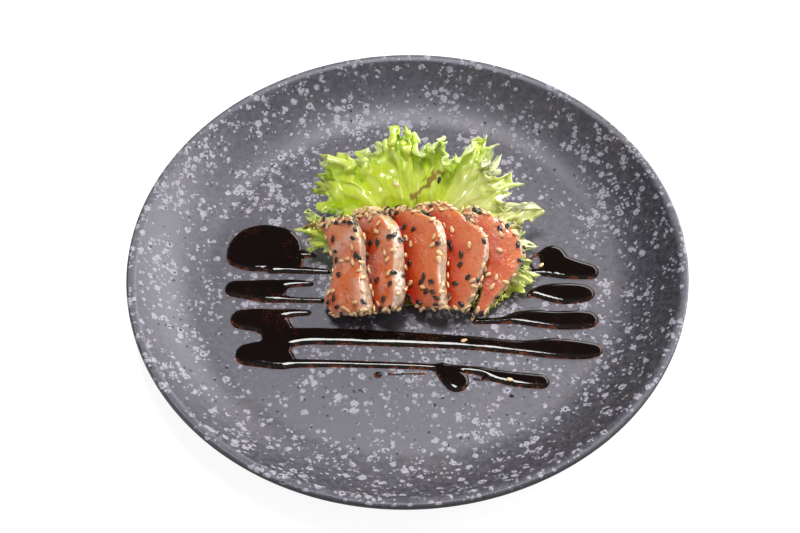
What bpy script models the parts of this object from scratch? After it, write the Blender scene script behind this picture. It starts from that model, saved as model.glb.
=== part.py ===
"""Salmon tataki: five seared slices on frilled lettuce, with sauce strokes and sesame, on a coupe plate.

The part stands on its foot ring: the origin is under the centre of the plate and +Z is up.
-Y is the side that faces the diner. All sizes below are millimetres; the finished meshes are
scaled to metres in the last step.
"""
import math
import random

import bmesh
import bpy
import numpy as np
from mathutils import Matrix, Vector
from mathutils.bvhtree import BVHTree

MM = 0.001

# ---------------------------------------------------------------- plate
RIM_RADIUS = 135.0
RIM_HEIGHT = 25.2
LIP_WIDTH = 4.2
FLOOR_Z = 6.0
FLOOR_RADIUS = 98.0
WELL_POWER = 1.9
WELL_RINGS = 5
FOOT_OUTER = 80.0
FOOT_INNER = 74.0
RECESS_Z = 2.5
PLATE_SEGMENTS = 56

# ---------------------------------------------------------------- sauce
SAUCE_HEIGHT = 1.6
SAUCE_EDGE_HEIGHT = 0.35
SAUCE_EDGE_WIDTH = 3.2
SAUCE_SINK = 0.8
SAUCE_CELL = 3.0
SAUCE_BLEND = 0.7
# Each stroke is a chain of (x, y, half width) along its middle, on the plate's flat floor.
STROKES = {
    "pool_back": [(-81.5, 17.5, 8.2), (-74, 21.5, 14.4), (-66, 21.5, 13.6), (-63.5, 22.5, 10.6)],
    "pool_corner": [(-62, 19, 9.0), (-57, 12.5, 5.8)],
    "pool_arm_low": [(-66, 9, 3.6), (-60, 8, 2.5), (-48, 6.8, 2.2), (-38.5, 5.8, 1.5)],
    "pool_arm_high": [(-58, 18, 4.4), (-51, 17, 2.4), (-45.5, 16.4, 1.3)],
    "finger_1": [(-84.5, -3, 5), (-72, -4.6, 6.6), (-66, -5, 6.6)],
    "finger_1_high": [(-69, -2.4, 3.6), (-57, -0.8, 2.6), (-47.5, -1.2, 1.6)],
    "finger_1_low": [(-69, -8, 3.6), (-57, -10.5, 1.9), (-42, -11.6, 1.6)],
    "finger_2": [(-80, -21.3, 6), (-71, -22.5, 7), (-63, -27, 7)],
    "finger_2_arm": [(-68, -19.6, 3.6), (-57, -18.5, 2.6), (-48.5, -18.6, 1.7)],
    "bridge": [(-66, -24, 6.5), (-63, -33, 7.2), (-64, -41, 7.4)],
    "finger_3": [(-76.5, -41.8, 6.4), (-68, -42, 7.6), (-60, -45, 5.6)],
    "line_back": [(-62, -33, 6.4), (-50, -32.3, 5), (-37.8, -32.7, 4.9), (-3, -35.5, 4.4),
                  (28.5, -38.6, 4.0), (50, -41.7, 4.1), (60, -42.6, 4.9), (69, -43, 5.9),
                  (80, -44.2, 5.5), (87.5, -44.8, 4.4)],
    "line_front": [(-64, -45.5, 4.2), (-57, -47.4, 2.8), (-37.7, -48.2, 2.2), (-3, -50.5, 1.9),
                   (10.8, -51.8, 1.9), (31, -54.3, 2.4), (40, -57.5, 3.6), (51, -60.1, 4.2),
                   (61, -61.4, 4.1)],
    "drip": [(15, -53, 3.6), (18, -56.5, 5.0), (21.5, -60, 6.0)],
    "right_1": [(72.5, 11.5, 6.8), (74.5, 6.2, 7.6), (82, 3.4, 6.2), (89.5, 1.7, 4.8)],
    "right_1_tail": [(70, 3.2, 4.2), (66, 2.2, 2.5), (61.4, 1.6, 1.4)],
    "right_2": [(58.5, -12.4, 1.2), (61, -10.4, 2.2), (67, -10.2, 4.7), (75.5, -11.2, 6.3),
                (83.5, -11.3, 5.8), (86.5, -11.4, 4.6)],
    "right_3": [(32, -26.4, 1.6), (46, -26, 2.2), (52, -24.9, 3.7), (60.8, -25.4, 5),
                (71, -26.8, 5.4), (82, -27, 5.6), (86.3, -27, 5.0)],
}
# Loose seeds on the plate and its sauce: (x, y, height above the floor, turn in degrees).
PLATE_SEEDS = [(26.1, -38.3, 1.5, 20), (46.5, -61, 1.5, -15), (31, -24.6, 0.0, 70),
               (66.4, 5.8, 0.6, 35), (-48, 26, 0.0, 10)]

# ---------------------------------------------------------------- salmon
SLICE_GAP = 0.35
SLICE_STATIONS = 11
SLICE_SIDES = 14
PLAN_POWER = 6.0
THICKNESS_POWER = 3.4
SECTION_POWER = 5.0
# Share of the height that is left at the very ends, over and under the middle of the section.
TOP_LEAST = 0.3
UNDER_LEAST = 0.72
# Every slice lies along +Y with its near end on the plate and its far end up on the lettuce.
# near: low left corner of the near end (x, y) and its height above the floor; lean: how far the
# slice has tipped over to the right, measured from flat; rise: slope of its length; left, right
# and thick: its two long edges and its thickness, at even steps from the near to the far end.
SLICES = {
    "slice_1": {"near": (-35.0, -20.1, -4.5), "lean": 44, "rise": 30, "length": 49.5,
                "left": (4, -0.8, 3.4, 3.4, 1.2, -2.5, -9),
                "right": (30, 27.5, 26, 24.0, 23.8, 21.5, 18),
                "thick": (10.5, 10.5, 9, 6.5, 6.5, 7, 8)},
    "slice_2": {"near": (-16.8, -19.2, -4.4), "lean": 46, "rise": 30, "length": 53,
                "left": (2, 1, 0.5, 0, -0.5, -2.5, -8),
                "right": (24, 25.4, 24.8, 25.3, 24.5, 20.5, 10),
                "thick": (11, 11, 10.5, 10, 10, 11, 9)},
    "slice_3": {"near": (-1.2, -18.6, -3.9), "lean": 37, "rise": 29, "length": 53,
                "left": (10, 4, 1, 0, -1.5, -4, -11),
                "right": (28.5, 27.2, 26.8, 27.4, 27.6, 22.5, 5),
                "thick": (8, 9, 9.5, 9, 8.5, 8, 7)},
    "slice_4": {"near": (16.4, -21.85, -1.1), "lean": 23, "rise": 27, "length": 55.5,
                "left": (5, 1.5, 1, 0, -1.5, -4, -13),
                "right": (15, 19.4, 23.2, 26.4, 25.4, 16.4, 7),
                "thick": (7.5, 8, 8, 8, 8, 7.5, 6.5)},
    "slice_5": {"near": (34.6, -23.8, -0.3), "lean": 9, "rise": 25, "length": 54,
                "left": (-4, 0, 1.6, 2.4, 2, -2, -8.5),
                "right": (3.5, 10.2, 17.8, 22.6, 21.4, 14.6, 2.5),
                "thick": (6.5, 7, 7, 6.8, 6.8, 6.5, 6)},
}

# ---------------------------------------------------------------- sesame
SEED_SIZE = (3.2, 1.9, 0.95)
SEED_SIDES = 6
SEED_SPACING = 4.2
SEED_CLEARANCE = 3.0
# Draws on each part of a slice's surface, and how many of them stay.
SEED_ZONES = {"face": 8, "side": 5, "far_end": 4, "near_end": 3}

# ---------------------------------------------------------------- lettuce
# The leaf is a fan all round a sloping bed that carries the salmon: the bed rises from the plate
# to the far ends of the slices, and the leaf goes on from it to its frilled edge.
LEAF_THICKNESS = 0.9
LEAF_CENTRE = (5.0, 9.0)
BED_HEIGHT = 18.8
BED_SLOPE = (-0.035, 0.53)
BED_RADII = (31.0, 13.0)
LEAF_CLEARANCE = 0.5
# Where the leaf is held under the slices: places round each of its points, and their distance.
PRESS_PATTERN = [(i, j) for i in (-1, 0, 1) for j in (-1, 0, 1)]
PRESS_REACH = 2.2
LEAF_RINGS = 9
# Turns of the fan and the cells in each: the part that shows, then the part under the salmon.
LEAF_SPANS = [((190, -45), 86), ((-45, -170), 12)]
# Outer edge: azimuth in degrees, radius, height above the plate's base, and how long the leaf
# follows the bed before it turns to that edge.
LEAF_EDGE = [
    (190, 36, 9.5, 1.5), (183, 39, 9.5, 1.5), (178, 42, 10.5, 1.5), (175, 51, 12.5, 1.5),
    (173, 59, 14, 1.5), (170, 56, 15, 1.5), (166, 64, 16, 1.5), (162, 65, 17, 1.5),
    (157, 61, 18, 1.4), (151, 54, 19, 1.4), (145, 61, 21, 1.3), (140, 63, 26, 1.2),
    (134, 66, 31, 1.1), (128, 62, 33, 1.0), (121, 57, 37, 1.0), (113, 55, 41, 1.0),
    (104, 53, 45, 1.0), (94, 53, 47, 1.0), (86, 48, 45, 1.0), (77, 50, 46, 1.0),
    (69, 52, 46, 1.0), (62, 47, 43, 1.0), (56, 59, 44, 1.0), (50, 60, 43, 1.0),
    (44, 58, 40, 1.0), (37, 57, 35, 1.1), (30, 57, 30, 1.2), (24, 58, 24, 1.4),
    (18, 63, 20, 1.5), (11, 58, 16, 1.6), (4, 56, 14, 1.5), (-4, 55, 11, 1.3),
    (-13, 59, 9.8, 1.2), (-20, 56, 9.2, 1.1), (-27, 50, 8.8, 1.0), (-35, 47, 8.6, 1.0),
    (-42, 44, 8.2, 1.0), (-52, 34, 7.8, 1.0), (-70, 28, 7.5, 1.0), (-100, 26, 7.5, 1.0),
    (-130, 32, 7.5, 1.0), (-155, 35, 8.0, 1.2), (-170, 36, 9.5, 1.5)]
# Valleys of the leaf: azimuth, depth and width in degrees.
LEAF_CREASES = [(63, 4.0, 7), (151, 3.0, 5)]
# Waves over a full turn and their height, from broad folds to the teeth of the edge.
LEAF_FOLDS = (13, 1.8)
LEAF_RUFFLES = (36, 2.7)
LEAF_TEETH = (80, 1.0)

# ---------------------------------------------------------------- colours (linear) and finishes
FINISHES = {
    "glazed stoneware": ((0.060, 0.056, 0.066), 0.42),
    "salmon": ((0.50, 0.12, 0.05), 0.35),
    "lettuce": ((0.42, 0.60, 0.06), 0.45),
}


def material(name):
    """Return the Principled material of one of the finishes."""
    found = bpy.data.materials.get(name)
    if found:
        return found
    colour, roughness = FINISHES[name]
    made = bpy.data.materials.new(name)
    made.use_nodes = True
    shader = made.node_tree.nodes["Principled BSDF"]
    shader.inputs["Base Color"].default_value = (*colour, 1.0)
    shader.inputs["Roughness"].default_value = roughness
    shader.inputs["Metallic"].default_value = 0.0
    made.diffuse_color = (*colour, 1.0)
    return made


def add_object(name, verts, faces, finish):
    """Make a mesh object in millimetres with its faces pointing out."""
    mesh = bpy.data.meshes.new(name)
    mesh.from_pydata([tuple(v) for v in verts], [], faces)
    mesh.materials.append(material(finish))
    made = bpy.data.objects.new(name, mesh)
    bpy.context.scene.collection.objects.link(made)
    bm = bmesh.new()
    bm.from_mesh(mesh)
    bmesh.ops.recalc_face_normals(bm, faces=bm.faces)
    bm.to_mesh(mesh)
    bm.free()
    return made


def keep_evaluated(target):
    """Replace an object's mesh by its evaluated one, and drop its modifiers."""
    depsgraph = bpy.context.evaluated_depsgraph_get()
    mesh = bpy.data.meshes.new_from_object(target.evaluated_get(depsgraph))
    target.modifiers.clear()
    target.data = mesh


def drop_scraps(target):
    """Keep only the largest connected piece of a mesh."""
    bm = bmesh.new()
    bm.from_mesh(target.data)
    left = set(bm.verts)
    islands = []
    while left:
        front = [left.pop()]
        island = set(front)
        while front:
            for edge in front.pop().link_edges:
                for vert in edge.verts:
                    if vert in left:
                        left.remove(vert)
                        island.add(vert)
                        front.append(vert)
        islands.append(island)
    islands.sort(key=len)
    for island in islands[:-1]:
        bmesh.ops.delete(bm, geom=list(island), context="VERTS")
    bm.to_mesh(target.data)
    bm.free()


def fuse(target, pieces):
    """Join the pieces to the target by one Boolean union, and remove them."""
    group = bpy.data.collections.new(target.name + " pieces")
    bpy.context.scene.collection.children.link(group)
    for piece in pieces:
        group.objects.link(piece)
        bpy.context.scene.collection.objects.unlink(piece)
    union = target.modifiers.new("union", "BOOLEAN")
    union.operation = "UNION"
    union.operand_type = "COLLECTION"
    union.collection = group
    union.solver = "EXACT"
    keep_evaluated(target)
    for piece in pieces:
        bpy.data.objects.remove(piece)
    bpy.data.collections.remove(group)
    drop_scraps(target)


def smooth_chain(points, step):
    """Read a Catmull-Rom curve through points of any dimension, about one step apart."""
    ends = [tuple(2 * a - b for a, b in zip(points[0], points[1]))]
    tail = [tuple(2 * a - b for a, b in zip(points[-1], points[-2]))]
    chain = ends + list(points) + tail
    read = []
    for i in range(1, len(chain) - 2):
        before, start, end, after = chain[i - 1:i + 3]
        count = max(1, round(math.dist(start[:2], end[:2]) / step))
        for k in range(count):
            t = k / count
            read.append(tuple(
                0.5 * (2 * s + (e - b) * t + (2 * b - 5 * s + 4 * e - a) * t * t
                       + (3 * s - b - 3 * e + a) * t ** 3)
                for b, s, e, a in zip(before, start, end, after)))
    read.append(tuple(points[-1]))
    return read


# ---------------------------------------------------------------- plate and sauce
def plate_outline():
    """Half section of the plate, from the axis under it round the lip to the axis on top."""
    top = RIM_HEIGHT - 0.5
    outline = [(0, RECESS_Z), (FOOT_INNER, RECESS_Z), (FOOT_INNER, 0), (FOOT_OUTER, 0),
               (FOOT_OUTER + 3, 2.4), (100, 2.6), (108, 4.2), (115, 7.6), (122, 12.6),
               (129, 18.0), (RIM_RADIUS - 0.8, 20.4), (RIM_RADIUS, 21.6),
               (RIM_RADIUS, 23.6), (RIM_RADIUS - 1.0, RIM_HEIGHT - 0.2),
               (RIM_RADIUS - 2.6, RIM_HEIGHT)]
    lip = RIM_RADIUS - LIP_WIDTH
    for ring in range(WELL_RINGS, -1, -1):
        share = ring / WELL_RINGS
        radius = FLOOR_RADIUS + (lip - FLOOR_RADIUS) * share
        outline.append((radius, FLOOR_Z + (top - FLOOR_Z) * share ** WELL_POWER))
    outline.append((0, FLOOR_Z))
    return outline


def make_plate():
    """Turn the plate's half section about its axis."""
    bm = bmesh.new()
    verts = [bm.verts.new((r, 0, z)) for r, z in plate_outline()]
    edges = [bm.edges.new(pair) for pair in zip(verts, verts[1:])]
    bmesh.ops.spin(bm, geom=verts + edges, cent=(0, 0, 0), axis=(0, 0, 1), angle=math.tau,
                   steps=PLATE_SEGMENTS, use_merge=True)
    bmesh.ops.remove_doubles(bm, verts=bm.verts, dist=0.001)
    bmesh.ops.recalc_face_normals(bm, faces=bm.faces)
    mesh = bpy.data.meshes.new("plate")
    bm.to_mesh(mesh)
    bm.free()
    mesh.materials.append(material("glazed stoneware"))
    plate = bpy.data.objects.new("plate", mesh)
    bpy.context.scene.collection.objects.link(plate)
    return plate


def sauce_distance(x, y):
    """Signed distance from the sauce's outline, negative inside, for arrays of places."""
    total = np.zeros(x.shape)
    for chain in STROKES.values():
        spots = np.array(smooth_chain(chain, 2.0))
        nearest = np.full(x.shape, np.inf)
        for (x0, y0, half0), (x1, y1, half1) in zip(spots, spots[1:]):
            run = (x1 - x0, y1 - y0)
            share = ((x - x0) * run[0] + (y - y0) * run[1]) / (run[0] ** 2 + run[1] ** 2)
            share = np.clip(share, 0, 1)
            away = np.hypot(x - x0 - share * run[0], y - y0 - share * run[1])
            nearest = np.minimum(nearest, away - half0 - (half1 - half0) * share)
        total += np.exp(-np.clip(nearest, -30, 30) / SAUCE_BLEND)
    return -SAUCE_BLEND * np.log(total)


def make_sauce():
    """All the sauce as one low sheet of beads whose edge cells are drawn to its outline."""
    spots = np.array([spot for chain in STROKES.values() for spot in chain])
    low = spots[:, :2].min(axis=0) - 14
    high = spots[:, :2].max(axis=0) + 14
    xs = np.arange(low[0], high[0], SAUCE_CELL)
    ys = np.arange(low[1], high[1], SAUCE_CELL)
    x, y = np.meshgrid(xs, ys, indexing="ij")
    inside = sauce_distance(x[:-1, :-1] + SAUCE_CELL / 2, y[:-1, :-1] + SAUCE_CELL / 2) < 0
    step = 0.1
    for _ in range(3):
        gap = sauce_distance(x, y)
        slope_x = (sauce_distance(x + step, y) - gap) / step
        slope_y = (sauce_distance(x, y + step) - gap) / step
        steep = np.maximum(slope_x ** 2 + slope_y ** 2, 0.2)
        cells = np.zeros(x.shape)
        for i, j in ((0, 0), (0, 1), (1, 0), (1, 1)):
            cells[i:i + inside.shape[0], j:j + inside.shape[1]] += inside
        edge = (cells > 0) & (cells < 4)
        x = np.where(edge, x - gap * slope_x / steep, x)
        y = np.where(edge, y - gap * slope_y / steep, y)
    depth = np.clip(-sauce_distance(x, y) / SAUCE_EDGE_WIDTH, 0, 1)
    dome = SAUCE_EDGE_HEIGHT + (SAUCE_HEIGHT - SAUCE_EDGE_HEIGHT) * np.sqrt(1 - (1 - depth) ** 2)

    bm = bmesh.new()
    verts = {}

    def vert(i, j):
        if (i, j) not in verts:
            verts[i, j] = bm.verts.new((x[i, j], y[i, j], FLOOR_Z + dome[i, j]))
        return verts[i, j]

    for i, j in zip(*np.nonzero(inside)):
        bm.faces.new([vert(i, j), vert(i + 1, j), vert(i + 1, j + 1), vert(i, j + 1)])
    base = bmesh.ops.extrude_face_region(bm, geom=list(bm.faces), use_keep_orig=True)
    for item in base["geom"]:
        if isinstance(item, bmesh.types.BMVert):
            item.co.z = FLOOR_Z - SAUCE_SINK
    bmesh.ops.recalc_face_normals(bm, faces=bm.faces)
    mesh = bpy.data.meshes.new("sauce")
    bm.to_mesh(mesh)
    bm.free()
    mesh.materials.append(material("glazed stoneware"))
    sauce = bpy.data.objects.new("sauce", mesh)
    bpy.context.scene.collection.objects.link(sauce)
    return sauce


# ---------------------------------------------------------------- sesame seeds
def make_seed(place, normal, turn):
    """A flat drop-shaped seed, half sunk, with its pointed end along its own turn."""
    length, width, thick = SEED_SIZE
    rings = ((-0.62, 0.80), (0.42, 0.72))
    verts = [(-length / 2, 0, 0)]
    for along, share in rings:
        for k in range(SEED_SIDES):
            angle = math.tau * k / SEED_SIDES
            verts.append((along * length / 2, share * width / 2 * math.cos(angle),
                          share * thick / 2 * math.sin(angle)))
    verts.append((length / 2, 0, 0))
    faces = []
    for k in range(SEED_SIDES):
        a, b = 1 + k, 1 + (k + 1) % SEED_SIDES
        faces.append((0, b, a))
        faces.append((a, b, b + SEED_SIDES, a + SEED_SIDES))
        faces.append((a + SEED_SIDES, b + SEED_SIDES, len(verts) - 1))
    frame = normal.to_track_quat("Z", "Y").to_matrix().to_4x4()
    matrix = Matrix.Translation(place) @ frame @ Matrix.Rotation(turn, 4, "Z")
    return add_object("seed", [matrix @ Vector(v) for v in verts], faces, "salmon")


# ---------------------------------------------------------------- salmon slices
def spread(values, share):
    """Read a smooth curve through evenly spaced values."""
    place = min(max(share, 0.0), 1.0) * (len(values) - 1)
    i = min(int(place), len(values) - 2)
    t = place - i
    before, start, end, after = (values[min(max(i + k, 0), len(values) - 1)]
                                 for k in (-1, 0, 1, 2))
    return 0.5 * (2 * start + (end - before) * t
                  + (2 * before - 5 * start + 4 * end - after) * t * t
                  + (3 * start - before - 3 * end + after) * t ** 3)


class Slice:
    """Surface of one slice: u runs from its near end to its far end, tau round its section."""

    def __init__(self, spec):
        self.spec = spec
        self.length = spec["length"]
        rise, lean = math.radians(spec["rise"]), math.radians(spec["lean"])
        x, y, lift = spec["near"]
        self.corner = Vector((x, y, FLOOR_Z + SLICE_GAP + lift))
        self.along = Vector((0, math.cos(rise), math.sin(rise)))
        level = Vector((1, 0, 0))
        up = level.cross(self.along)
        self.across = level * math.cos(lean) + up * math.sin(lean)
        self.normal = up * math.cos(lean) - level * math.sin(lean)

    def section(self, u):
        """Middle, half width, and height of the section at u, and how full its height is."""
        left, right, high = (spread(self.spec[key], u) for key in ("left", "right", "thick"))
        end = abs(2 * u - 1)
        plan = max(0.0, 1 - end ** PLAN_POWER) ** (1 / PLAN_POWER)
        deep = max(0.0, 1 - end ** THICKNESS_POWER) ** (1 / THICKNESS_POWER)
        return (left + right) / 2, (right - left) / 2 * plan, high, deep

    def point(self, u, tau):
        """Point of the surface."""
        middle, half, high, deep = self.section(u)

        def rounded(value):
            return math.copysign(abs(value) ** (2 / SECTION_POWER), value)

        across = middle + half * rounded(math.cos(tau))
        least = TOP_LEAST if math.sin(tau) > 0 else UNDER_LEAST
        full = least + (1 - least) * deep
        height = high / 2 * (1 + full * rounded(math.sin(tau)))
        return (self.corner + self.along * (u * self.length) + self.across * across
                + self.normal * height)

    def outward(self, u, tau):
        """Normal of the surface."""
        step = 0.01
        along = self.point(min(u + step, 0.998), tau) - self.point(max(u - step, 0.002), tau)
        around = self.point(u, tau + step) - self.point(u, tau - step)
        return around.cross(along).normalized() * -1


def make_slice(name, form):
    """Loft the slice through its stations."""
    verts = []
    for i in range(SLICE_STATIONS):
        share = (1 - math.cos(math.pi * i / (SLICE_STATIONS - 1))) / 2
        u = min(max(share, 0.003), 0.997)
        for j in range(SLICE_SIDES):
            verts.append(form.point(u, math.tau * (j + 0.5) / SLICE_SIDES))
    faces = []
    for i in range(SLICE_STATIONS - 1):
        for j in range(SLICE_SIDES):
            a, b = i * SLICE_SIDES + j, i * SLICE_SIDES + (j + 1) % SLICE_SIDES
            faces.append((a, b, b + SLICE_SIDES, a + SLICE_SIDES))
    last = (SLICE_STATIONS - 1) * SLICE_SIDES
    faces.append(tuple(reversed(range(SLICE_SIDES))))
    faces.append(tuple(last + j for j in range(SLICE_SIDES)))
    return add_object(name, verts, faces, "salmon")


def draw_site(zone, draw):
    """A random place (u, tau) in one zone of a slice."""
    if zone == "face":
        share = draw.uniform(-0.85, 0.9)
        tau = math.acos(math.copysign(abs(share) ** (SECTION_POWER / 2), share))
        return draw.uniform(0.06, 0.94), tau
    if zone == "side":
        return draw.uniform(0.05, 0.95), draw.uniform(-0.4, 0.4)
    if zone == "far_end":
        return draw.uniform(0.955, 0.99), draw.uniform(0.1, 2.6)
    return draw.uniform(0.01, 0.04), draw.uniform(0.1, 2.9)


def tree_of(thing):
    """Ray-casting tree of an object's mesh."""
    bm = bmesh.new()
    bm.from_mesh(thing.data)
    bmesh.ops.triangulate(bm, faces=bm.faces)
    tree = BVHTree.FromBMesh(bm)
    bm.free()
    return tree


def seed_slice(form, others, seed):
    """Place the slice's seeds where nothing lies over its surface, evenly within each zone."""
    draw = random.Random(seed)
    placed = []
    made = []
    for zone, wanted in SEED_ZONES.items():
        found = 0
        for _ in range(600):
            if found == wanted:
                break
            u, tau = draw_site(zone, draw)
            turn = draw.uniform(0, math.tau)
            spot = form.point(u, tau)
            normal = form.outward(u, tau)
            if any((spot - other).length < SEED_SPACING for other in placed):
                continue
            probe = spot + normal * 0.5
            near = [tree.find_nearest(probe)[3] for tree in others]
            if min(near) < SEED_CLEARANCE:
                continue
            placed.append(spot)
            made.append(make_seed(spot + normal * 0.12, normal, turn))
            found += 1
    return made


# ---------------------------------------------------------------- lettuce leaves
def leaf_point(edge, degrees, out):
    """Point of the leaf on the ray at this azimuth: out is 0 at the middle and 1 at the edge."""
    radius, height, curve = (float(np.interp(-degrees, -edge[:, 0], edge[:, k]))
                             for k in (1, 2, 3))
    azimuth = math.radians(degrees)
    ray = Vector((math.cos(azimuth), math.sin(azimuth), 0))
    side = Vector((-math.sin(azimuth), math.cos(azimuth), 0))
    away = ray * (radius * out)
    bed = BED_HEIGHT + away.x * BED_SLOPE[0] + away.y * BED_SLOPE[1]
    bed_radius = 1 / math.hypot(ray.x / BED_RADII[0], ray.y / BED_RADII[1])
    turned = max(0.0, (radius * out - bed_radius) / (radius - bed_radius)) ** curve
    spot = Vector((*LEAF_CENTRE, bed + (height - bed) * turned)) + away
    for place, depth, width in LEAF_CREASES:
        spot.z -= depth * math.exp(-((degrees - place) / width) ** 2) * math.sin(out * 2.4)
    lift = Vector((0, 0, 1)) - ray * 0.6 * min(1.0, height / 40)
    free = min(1.0, max(0.0, (height - 7.0) / 5))
    turn = azimuth + 0.05 * math.sin(7 * azimuth + 1) + 0.02 * math.sin(19 * azimuth)
    fold, ruffle, tooth = (waves * turn for waves, _ in (LEAF_FOLDS, LEAF_RUFFLES, LEAF_TEETH))
    fold_high, ruffle_high, tooth_long = LEAF_FOLDS[1], LEAF_RUFFLES[1], LEAF_TEETH[1]
    ruffle_high *= free * (0.75 + 0.35 * math.sin(5 * azimuth + 2))
    ruffle += 1.1 * math.sin(fold)
    tooth += 1.4 * math.sin(ruffle)
    spot += lift * fold_high * free * out ** 1.4 * math.sin(fold)
    spot += lift * ruffle_high * out ** 4 * math.sin(ruffle)
    spot -= side * 0.5 * ruffle_high * out ** 5 * math.sin(2 * ruffle)
    spot += ray * 1.3 * tooth_long * free * out ** 8 * math.cos(ruffle)
    spot += ray * tooth_long * free * out ** 10 * math.cos(tooth)
    return spot


def press_down(spot, trees):
    """Lower a point of the leaf so that the leaf round it passes under the slices."""
    room = LEAF_CLEARANCE + LEAF_THICKNESS / 2
    for i, j in PRESS_PATTERN:
        start = Vector((spot.x + i * PRESS_REACH, spot.y + j * PRESS_REACH, FLOOR_Z))
        for tree in trees:
            hit = tree.ray_cast(start, Vector((0, 0, 1)))[0]
            if hit:
                spot.z = min(spot.z, hit.z - room)
    spot.z = max(spot.z, FLOOR_Z + LEAF_THICKNESS)


def make_leaf(name, trees):
    """A thin wavy sheet, cut into triangles first so that both faces match."""
    edge = np.array(smooth_chain(LEAF_EDGE, 2.0))
    turns = [start + (end - start) * k / count
             for (start, end), count in LEAF_SPANS for k in range(count)]
    verts = [leaf_point(edge, 0, 0)]
    verts += [leaf_point(edge, degrees, (ring / LEAF_RINGS) ** 0.8)
              for degrees in turns for ring in range(1, LEAF_RINGS + 1)]
    for spot in verts:
        press_down(spot, trees)
    faces = []
    for i in range(len(turns)):
        here, there = 1 + i * LEAF_RINGS, 1 + (i + 1) % len(turns) * LEAF_RINGS
        faces.append((0, there, here))
        for j in range(LEAF_RINGS - 1):
            faces.append((here + j, there + j, there + j + 1, here + j + 1))
    leaf = add_object(name, verts, faces, "lettuce")
    bm = bmesh.new()
    bm.from_mesh(leaf.data)
    bmesh.ops.triangulate(bm, faces=bm.faces)
    bm.to_mesh(leaf.data)
    bm.free()
    wall = leaf.modifiers.new("wall", "SOLIDIFY")
    wall.thickness = LEAF_THICKNESS
    wall.offset = 0.0
    keep_evaluated(leaf)
    return leaf


# ---------------------------------------------------------------- the whole part
def main():
    """Build every node, then scale millimetres to metres."""
    for thing in list(bpy.data.objects):
        bpy.data.objects.remove(thing)

    plate = make_plate()
    beads = [make_seed(Vector((x, y, FLOOR_Z + 0.35 + rise)), Vector((0, 0, 1)),
                       math.radians(turn)) for x, y, rise, turn in PLATE_SEEDS]
    fuse(plate, [make_sauce(), *beads])

    forms = {name: Slice(spec) for name, spec in SLICES.items()}
    slices = {name: make_slice(name, form) for name, form in forms.items()}
    leaf = make_leaf("lettuce", [tree_of(thing) for thing in slices.values()])
    trees = {thing.name: tree_of(thing) for thing in [plate, leaf, *slices.values()]}
    for order, (name, form) in enumerate(forms.items()):
        others = [tree for other, tree in trees.items() if other != name]
        fuse(slices[name], seed_slice(form, others, seed=11 + order))

    for thing in [plate, leaf, *slices.values()]:
        thing.data.transform(Matrix.Scale(MM, 4))
        thing.data.shade_smooth()
        thing.data.set_sharp_from_angle(angle=math.radians(40))


main()
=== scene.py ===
"""Looks of a salmon tataki: speckled coupe plate, sauce strokes, seared slices, sesame and lettuce.

The file is laid out as a Blender add-on and is run as a script. Tables and constants are in
millimetres, with -Y towards the diner; the settings that a user would change are in metres.
"""
import math
import random

import bmesh
import bpy
import numpy as np
from bpy.props import FloatProperty, FloatVectorProperty, IntProperty, PointerProperty
from mathutils import Matrix, Vector, noise
from mathutils.bvhtree import BVHTree


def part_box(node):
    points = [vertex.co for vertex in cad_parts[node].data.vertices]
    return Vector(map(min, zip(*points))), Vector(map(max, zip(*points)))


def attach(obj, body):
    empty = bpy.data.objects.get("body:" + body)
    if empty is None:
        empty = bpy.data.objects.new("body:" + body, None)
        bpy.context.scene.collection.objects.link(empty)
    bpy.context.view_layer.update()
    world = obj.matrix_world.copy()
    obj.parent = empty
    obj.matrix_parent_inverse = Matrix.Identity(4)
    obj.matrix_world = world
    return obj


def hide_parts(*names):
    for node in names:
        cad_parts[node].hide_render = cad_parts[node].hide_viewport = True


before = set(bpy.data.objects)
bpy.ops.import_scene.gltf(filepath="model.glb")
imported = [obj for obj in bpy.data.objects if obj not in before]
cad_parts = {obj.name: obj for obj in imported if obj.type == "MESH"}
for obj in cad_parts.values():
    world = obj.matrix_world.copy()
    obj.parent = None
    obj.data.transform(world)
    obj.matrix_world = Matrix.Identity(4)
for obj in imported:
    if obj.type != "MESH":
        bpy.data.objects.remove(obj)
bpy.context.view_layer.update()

bl_info = {
    "name": "Salmon Tataki",
    "version": (1, 0, 0),
    "blender": (4, 5, 0),
    "location": "View3D > Sidebar > Tataki",
    "description": "Plate, sauce, salmon slices, sesame and lettuce, and the studio round them",
    "category": "Object",
}

MM = 0.001
PLATE_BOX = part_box("plate")

# ---------------------------------------------------------------- plate
RIM_RADIUS = PLATE_BOX[1].x / MM
RIM_HEIGHT = 25.2
LIP_WIDTH = 4.2
FLOOR_Z = 6.0
FLOOR_RADIUS = 98.0
WELL_POWER = 1.9
WELL_RINGS = 44
RECESS_Z = 2.5
PLATE_SEGMENTS = 320
# Half section from the middle of the recess under the plate round its foot to the lip (r, z).
UNDERSIDE = [(60, RECESS_Z), (72.6, RECESS_Z), (73.7, 2.0), (74.2, 0.7), (75.0, 0.0), (79.0, 0.0),
             (80.2, 0.5), (82.0, 2.0), (86.0, 2.5), (98.0, 2.65), (108, 4.2), (115, 7.6),
             (122, 12.6), (129, 18.0)]
# How far the rim strays from a true circle, inwards and down.
RIM_WOBBLE = 0.25
# How far the outlines of the pale spots are bent.
SPOT_BEND = 2.2
PIT_COLOUR = (0.006, 0.005, 0.006)
# Near-black painted shade on the outer wall of the lip, below its crest.
RIM_SHADE_COLOUR = (0.005, 0.004, 0.0045)

# ---------------------------------------------------------------- sauce
SAUCE_CELL = 0.75
SAUCE_BLEND = 0.7
SAUCE_SINK = 0.4
SAUCE_MARGIN = 14
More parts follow.
